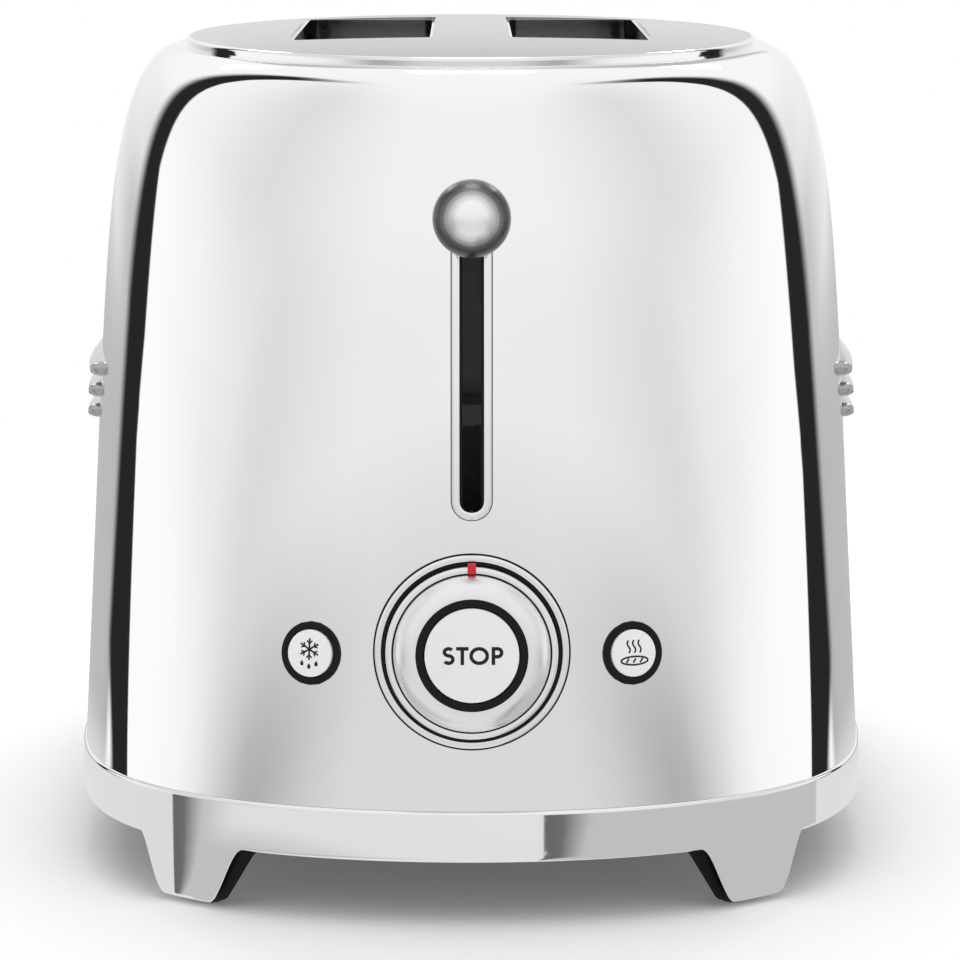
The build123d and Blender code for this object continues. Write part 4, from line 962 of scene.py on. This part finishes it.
def combine(tree, operation, first, second):
    # one sum: either side is a socket or a number
    sides = {0: first, 1: second}
    numbers = {key: side for key, side in sides.items() if isinstance(side, float)}
    sockets = {key: side for key, side in sides.items() if not isinstance(side, float)}
    return addNode(tree, "ShaderNodeMath", numbers, sockets, operation=operation).outputs[0]


def mixTints(tree, share, first, second):
    # first colour at share 0, second at 1
    return addNode(tree, "ShaderNodeMix", {}, {0: share, 6: first, 7: second}, data_type="RGBA").outputs[2]


def tintRamp(tree, bearing, stops):
    # colour by bearing, straight between its stops
    ramp = addNode(tree, "ShaderNodeValToRGB", {}, {"Fac": bearing})
    placeStops(ramp, stops)
    return ramp.outputs["Color"]


slotSettings = {
    "front": 130.3, "back": 143.2, "crisp": 0.5, "soft": 2.6, "shade": "262626",
    "flare": (0.0, 5.7, 4.3),  # its front edge moves back by 4.3 degrees between these elevations
    "curl": 32.6, "at": 54.5, "power": 3.46, "fade": (43.0, 64.0),
    "floorPull": (12.0, 0.55, 3.0), "floorBack": (0.2, 0.55, 9.0), "floorStart": (0.17, 0.23),
}


def slotShare(tree, bearing, front, back):
    # share of the dark slot between two bearings, crisp in front and soft behind
    crisp, soft = slotSettings["crisp"] / 180, slotSettings["soft"] / 180
    entered = eased(tree, combine(tree, "SUBTRACT", bearing, front), -crisp, crisp)
    left = eased(tree, combine(tree, "SUBTRACT", bearing, back), -soft, soft, 1.0, 0.0)
    return combine(tree, "MULTIPLY", entered, left)


tentSettings = {
    "horizon": (
        (0.0, "DBDBDB"), (0.14, "D9D9D9"), (0.2, "CDCDCD"), (0.25, "BCBCBC"), (0.29, "B1B1B1"),
        (0.32, "B4B4B4"), (0.35, "C6C6C6"), (0.39, "DBDBDB"), (0.43, "EDEDED"), (0.48, "F8F8F8"),
        (0.56, "FDFDFD"), (0.7, "FFFFFF"), (0.77, "FFFFFF"), (0.79, "BEBEBE"), (0.82, "C7C7C7"),
        (0.87, "E0E0E0"), (0.93, "EDEDED"), (0.98, "FBFBFB"),
    ),
    "low": (  # about 5 degrees up
        (0.0, "EEEEEE"), (0.2, "ECECEC"), (0.28, "E6E6E6"), (0.35, "DFDFDF"), (0.385, "DDDDDD"),
        (0.42, "E1E1E1"), (0.46, "E9E9E9"), (0.52, "EFEFEF"), (0.6, "F7F7F7"), (0.69, "FDFDFD"),
        (0.77, "FFFFFF"), (0.79, "E0E0E0"), (0.82, "E5E5E5"), (0.88, "EEEEEE"), (0.95, "F3F3F3"),
    ),
    "high": (  # above about 15 degrees
        (0.0, "F3F3F3"), (0.2, "F2F2F2"), (0.25, "EFEFEF"), (0.35, "E8E8E8"), (0.42, "E2E2E2"),
        (0.47, "DFDFDF"), (0.52, "E2E2E2"), (0.58, "E9E9E9"), (0.64, "F1F1F1"), (0.7, "F6F6F6"),
        (0.78, "F9F9F9"),
    ),
    "top": "F8F8F8", "lowBlend": (-0.5, 3.6), "highBlend": (4.0, 15.0), "topBlend": (38.0, 72.0),
    # a grey panel straight behind the toaster, wider towards its top
    "panel": {
        "shade": "BDBDBD", "edge": 174.0, "spread": 11.0, "between": (10.0, 30.0), "start": (5.5, 8.5),
        "end": (33.0, 42.0),
    },
}
floorSettings = {
    "half": 4.0, "plain": 0.32, "fade": 0.75, "table": "FFFFFF", "lift": 0.1, "corner": (0.07, 0.13),
    "near": (  # painted reflection tones the polished base sees of the table beside it
        (0.0, "E8E8E8"), (0.25, "E8E8E8"), (0.3, "C3C3C3"), (0.42, "C3C3C3"), (0.5, "E2E2E2"),
        (0.8, "E4E4E4"),
    ),
    "behind": ((0.79, "B2B2B2"), (0.82, "BABABA"), (0.95, "BEBEBE")),  # painted reflection tones of the table past the flanks
    "nearBlend": (0.14, 0.32), "farBlend": (1.1, 3.4),
}
floorPaint, tree = newMaterial("pale painted table")
place = addNode(tree, "ShaderNodeTexCoord").outputs["Object"]
speck = addNode(tree, "ShaderNodeTexNoise", {"Scale": 300.0}, {"Vector": place})
tone = addNode(
    tree, "ShaderNodeMix", {6: hexColor(floorSettings["table"]), 7: hexColor("FBFBFB")},
    {0: speck.outputs["Fac"]}, data_type="RGBA",
)
paint = addNode(tree, "ShaderNodeBsdfDiffuse", {}, {"Color": tone.outputs[2]})
rays = addNode(tree, "ShaderNodeLightPath")
reachOut = addNode(tree, "ShaderNodeVectorMath", {}, {0: place}, operation="LENGTH")
# near the toaster the table glows a tenth white for camera rays, painted light that lightens its shadow;
# further out it turns wholly white
farShare = eased(
    tree, reachOut.outputs["Value"], floorSettings["plain"], floorSettings["fade"], floorSettings["lift"], 1.0
)
farSeen = combine(tree, "MULTIPLY", farShare, rays.outputs["Is Camera Ray"])
white = addNode(tree, "ShaderNodeEmission", {"Color": hexColor("FFFFFF")})
seen = addNode(tree, "ShaderNodeMixShader", links={0: farSeen, 1: paint.outputs[0], 2: white.outputs[0]})
# painted reflection: for glossy rays the table glows in tones by bearing and distance from the toaster's
# corners, its darker tones painted shade
turned = addNode(
    tree, "ShaderNodeVectorRotate", {"Angle": studioTurn}, {"Vector": place}, rotation_type="Z_AXIS"
)
axes = addNode(tree, "ShaderNodeSeparateXYZ", links={"Vector": turned.outputs[0]})
aside = addNode(tree, "ShaderNodeMath", {}, {0: axes.outputs["X"]}, operation="ABSOLUTE").outputs[0]
clear = combine(tree, "MAXIMUM", combine(tree, "SUBTRACT", aside, floorSettings["corner"][0]), 0.0)
behind = combine(tree, "ADD", axes.outputs["Y"], floorSettings["corner"][1])
tableBearing = bearingOf(tree, clear, behind)
fromCorner = addNode(tree, "ShaderNodeCombineXYZ", {}, {"X": clear, "Y": behind})
fromCorner = addNode(tree, "ShaderNodeVectorMath", {}, {0: fromCorner.outputs[0]}, operation="LENGTH")
away = fromCorner.outputs["Value"]
aheadStops = tuple(stop for stop in tentSettings["horizon"] if stop[0] < 0.78)
tableShade = mixTints(
    tree, eased(tree, away, *floorSettings["nearBlend"]),
    tintRamp(tree, tableBearing, floorSettings["near"]),
    tintRamp(tree, tableBearing, aheadStops + floorSettings["behind"]),
)
tableShade = mixTints(
    tree, eased(tree, away, *floorSettings["farBlend"]), tableShade,
    tintRamp(tree, tableBearing, tentSettings["horizon"]),
)
# the tent's dark slot carried onto the glowing table as a painted reflection
pull, soften, stay = slotSettings["floorPull"]
pulled = combine(tree, "SUBTRACT", combine(tree, "DIVIDE", pull, combine(tree, "ADD", away, soften)), stay)
slotFront = combine(
    tree, "SUBTRACT", slotSettings["front"] / 180,
    combine(tree, "DIVIDE", combine(tree, "MAXIMUM", pulled, 0.0), 180.0),
)
nearEnd, farEnd, backPull = slotSettings["floorBack"]
slotBack = eased(
    tree, away, nearEnd, farEnd, (slotSettings["back"] - backPull) / 180, slotSettings["back"] / 180
)
onTable = combine(
    tree, "MULTIPLY", slotShare(tree, tableBearing, slotFront, slotBack),
    eased(tree, away, *slotSettings["floorStart"]),
)
slotTint = addNode(
    tree, "ShaderNodeMix", {7: hexColor(slotSettings["shade"])}, {0: onTable, 6: tableShade}, data_type="RGBA"
)
paintedTableGlow = addNode(tree, "ShaderNodeEmission", {}, {"Color": slotTint.outputs[2]})
surface = addNode(
    tree, "ShaderNodeMixShader",
    links={0: rays.outputs["Is Glossy Ray"], 1: seen.outputs[0], 2: paintedTableGlow.outputs[0]},
)
addNode(tree, "ShaderNodeOutputMaterial", links={"Surface": surface.outputs[0]})
reach = floorSettings["half"]
floorCorners = np.array([(-reach, -reach, 0), (reach, -reach, 0), (reach, reach, 0), (-reach, reach, 0)])
floor = addPiece("floor", floorCorners, np.array([[0, 1, 2, 3]]), floorPaint, smooth=False, merge=False)

# two glowing graded cards lying on the table beside the front, seen only in the polished base: a painted
# reflection there
gradedCards = {
    "left": {
        "corner": (-0.0693, -0.1258), "from": 270.0, "to": 130.0, "graded": 0.135, "far": (0.14, 0.14),
        "paler": 0.2,
    },
    "right": {
        "corner": (0.0164, -0.1485), "from": 195.7, "to": 300.0, "graded": 0.16, "far": (0.13, 0.2),
        "paler": 0.0,
    },
    "near": 0.004, "turn": (0.055, 0.09), "lift": 0.0003, "steps": 60, "full": 0.8,
    "tints": ((0.0, "666666"), (0.32, "707070"), (0.8, "C5C5C5"), (1.0, "E6E6E6")),
}
cardGlow, tree = newMaterial("graded grey reflection glow")
shadeAt = addNode(tree, "ShaderNodeAttribute", attribute_name="shade")
grey = addNode(tree, "ShaderNodeValToRGB", {}, {"Fac": shadeAt.outputs["Fac"]})
placeStops(grey, gradedCards["tints"])
cardShader = addNode(tree, "ShaderNodeEmission", {}, {"Color": grey.outputs["Color"]})
addNode(tree, "ShaderNodeOutputMaterial", links={"Surface": cardShader.outputs[0]})
for name, sideways in (("left", -1), ("right", 1)):
    settings = gradedCards[name]
    shares = np.linspace(0, 1, gradedCards["steps"])
    # bearings run from straight behind, round the card's own side of the toaster
    bearing = np.radians(settings["from"] + (settings["to"] - settings["from"]) * shares)
    away = np.stack([-sideways * np.sin(bearing), np.cos(bearing), np.zeros_like(bearing)], -1)
    reaches = [np.full_like(shares, reach) for reach in (gradedCards["near"], *gradedCards["turn"])]
    reaches = np.array([*reaches, np.interp(shares, (0, 1), settings["far"])])
    cardPoints = np.array([*settings["corner"], gradedCards["lift"]]) + away * reaches[..., None]
    card = addPiece(
        f"gradedCard{name.capitalize()}", cardPoints.reshape(-1, 3), gridFaces(len(reaches), len(shares)),
        cardGlow, smooth=False, merge=False,
    )
    # painted reflection: dark at the first edge, grey after it, and paler again further out
    graded = gradedCards["full"] * np.clip(shares / settings["graded"], 0, 1)
    paler = graded + settings["paler"] * np.clip(shares / settings["graded"] - 1, 0, 1)
    attribute = card.data.attributes.new("shade", "FLOAT", "POINT")
    attribute.data.foreach_set("value", np.concatenate([graded, graded, paler, paler]))
    card.visible_camera = card.visible_diffuse = card.visible_shadow = card.visible_transmission = False

world = bpy.data.worlds.new("studio")
bpy.context.scene.world = world
world.use_nodes = True
tree = world.node_tree
tree.nodes.clear()
direction = addNode(tree, "ShaderNodeTexCoord").outputs["Generated"]
turned = addNode(
    tree, "ShaderNodeVectorRotate", {"Angle": studioTurn}, {"Vector": direction}, rotation_type="Z_AXIS"
)
axes = addNode(tree, "ShaderNodeSeparateXYZ", links={"Vector": turned.outputs[0]})
bearing = bearingOf(tree, axes.outputs["X"], axes.outputs["Y"])
upward = addNode(tree, "ShaderNodeMath", {}, {0: axes.outputs["Z"]}, operation="ARCSINE").outputs[0]
elevation = combine(tree, "MULTIPLY", upward, 180 / math.pi)
tent = mixTints(
    tree, eased(tree, elevation, *tentSettings["lowBlend"]),
    tintRamp(tree, bearing, tentSettings["horizon"]), tintRamp(tree, bearing, tentSettings["low"]),
)
tent = mixTints(
    tree, eased(tree, elevation, *tentSettings["highBlend"]), tent,
    tintRamp(tree, bearing, tentSettings["high"]),
)
covered = addNode(
    tree, "ShaderNodeMix", {7: hexColor(tentSettings["top"])},
    {0: eased(tree, elevation, *tentSettings["topBlend"]), 6: tent}, data_type="RGBA",
).outputs[2]
backPanel = tentSettings["panel"]
lowEnd, highEnd = backPanel["between"]
panelEdge = addNode(
    tree, "ShaderNodeMapRange",
    {"From Min": lowEnd, "From Max": highEnd, "To Min": backPanel["edge"] / 180,
     "To Max": (backPanel["edge"] - backPanel["spread"]) / 180},
    {"Value": elevation},
).outputs[0]
onPanel = combine(
    tree, "MULTIPLY", eased(tree, combine(tree, "SUBTRACT", bearing, panelEdge), -0.008, 0.008),
    combine(
        tree, "MULTIPLY", eased(tree, elevation, *backPanel["start"]),
        eased(tree, elevation, *backPanel["end"], 1.0, 0.0),
    ),
)
covered = addNode(
    tree, "ShaderNodeMix", {7: hexColor(backPanel["shade"])}, {0: onPanel, 6: covered}, data_type="RGBA"
).outputs[2]
# the slot stands upright, then curls forward overhead as a power of elevation
climb = combine(tree, "MAXIMUM", combine(tree, "DIVIDE", elevation, slotSettings["at"]), 0.0)
curled = combine(tree, "POWER", climb, slotSettings["power"])
curl = combine(tree, "MULTIPLY", curled, slotSettings["curl"] / 180)
flareLow, flareHigh, flare = slotSettings["flare"]
frontEdge = addNode(
    tree, "ShaderNodeMapRange",
    {"From Min": flareLow, "From Max": flareHigh, "To Min": slotSettings["front"] / 180,
     "To Max": (slotSettings["front"] + flare) / 180},
    {"Value": elevation},
).outputs[0]
inSlot = combine(
    tree, "MULTIPLY",
    slotShare(tree, combine(tree, "ADD", bearing, curl), frontEdge, slotSettings["back"] / 180),
    eased(tree, elevation, *slotSettings["fade"], 1.0, 0.0),
)
slotted = addNode(
    tree, "ShaderNodeMix", {7: hexColor(slotSettings["shade"])}, {0: inSlot, 6: covered}, data_type="RGBA"
)
rays = addNode(tree, "ShaderNodeLightPath")
surround = addNode(tree, "ShaderNodeBackground", {"Strength": 1.0}, {"Color": slotted.outputs[2]})
backdrop = addNode(tree, "ShaderNodeBackground", {"Color": hexColor("FFFFFF"), "Strength": 1.0})
mixed = addNode(
    tree, "ShaderNodeMixShader",
    links={0: rays.outputs["Is Camera Ray"], 1: surround.outputs[0], 2: backdrop.outputs[0]},
)
addNode(tree, "ShaderNodeOutputWorld", links={"Surface": mixed.outputs[0]})


def addSoftbox(name, bearingBack, elevationUp, distance, size, power):
    # a softbox at a bearing from straight behind and a height angle, facing the ball
    back, up = math.radians(bearingBack), math.radians(elevationUp)
    away = Vector((math.sin(back) * math.cos(up), math.cos(back) * math.cos(up), math.sin(up)))
    light = bpy.data.lights.new(name, "AREA")
    light.shape, light.size, light.size_y, light.energy = "RECTANGLE", size[0], size[1], power
    lamp = bpy.data.objects.new(name, light)
    lamp.location = Vector(ballCentre.tolist()) + away * distance
    lamp.rotation_euler = (-away).to_track_quat("-Z", "Y").to_euler()
    bpy.context.scene.collection.objects.link(lamp)
    return lamp


overhead = addSoftbox("overheadSoftbox", 180.0, 86.0, 1.5, (1.1, 1.6), 3.0)
overhead.visible_glossy = False  # the tent's roof is what polished steel sees there
addSoftbox("backSoftbox", 0.0, 62.0, 1.4, (0.5, 0.22), 3.0)  # it glints in the top of the ball
for name, back in (("leftStrip", -26.0), ("rightStrip", 26.0)):
    addSoftbox(name, back, 29.4, 1.4, (0.16, 0.2), 0.9)
print("studio made")
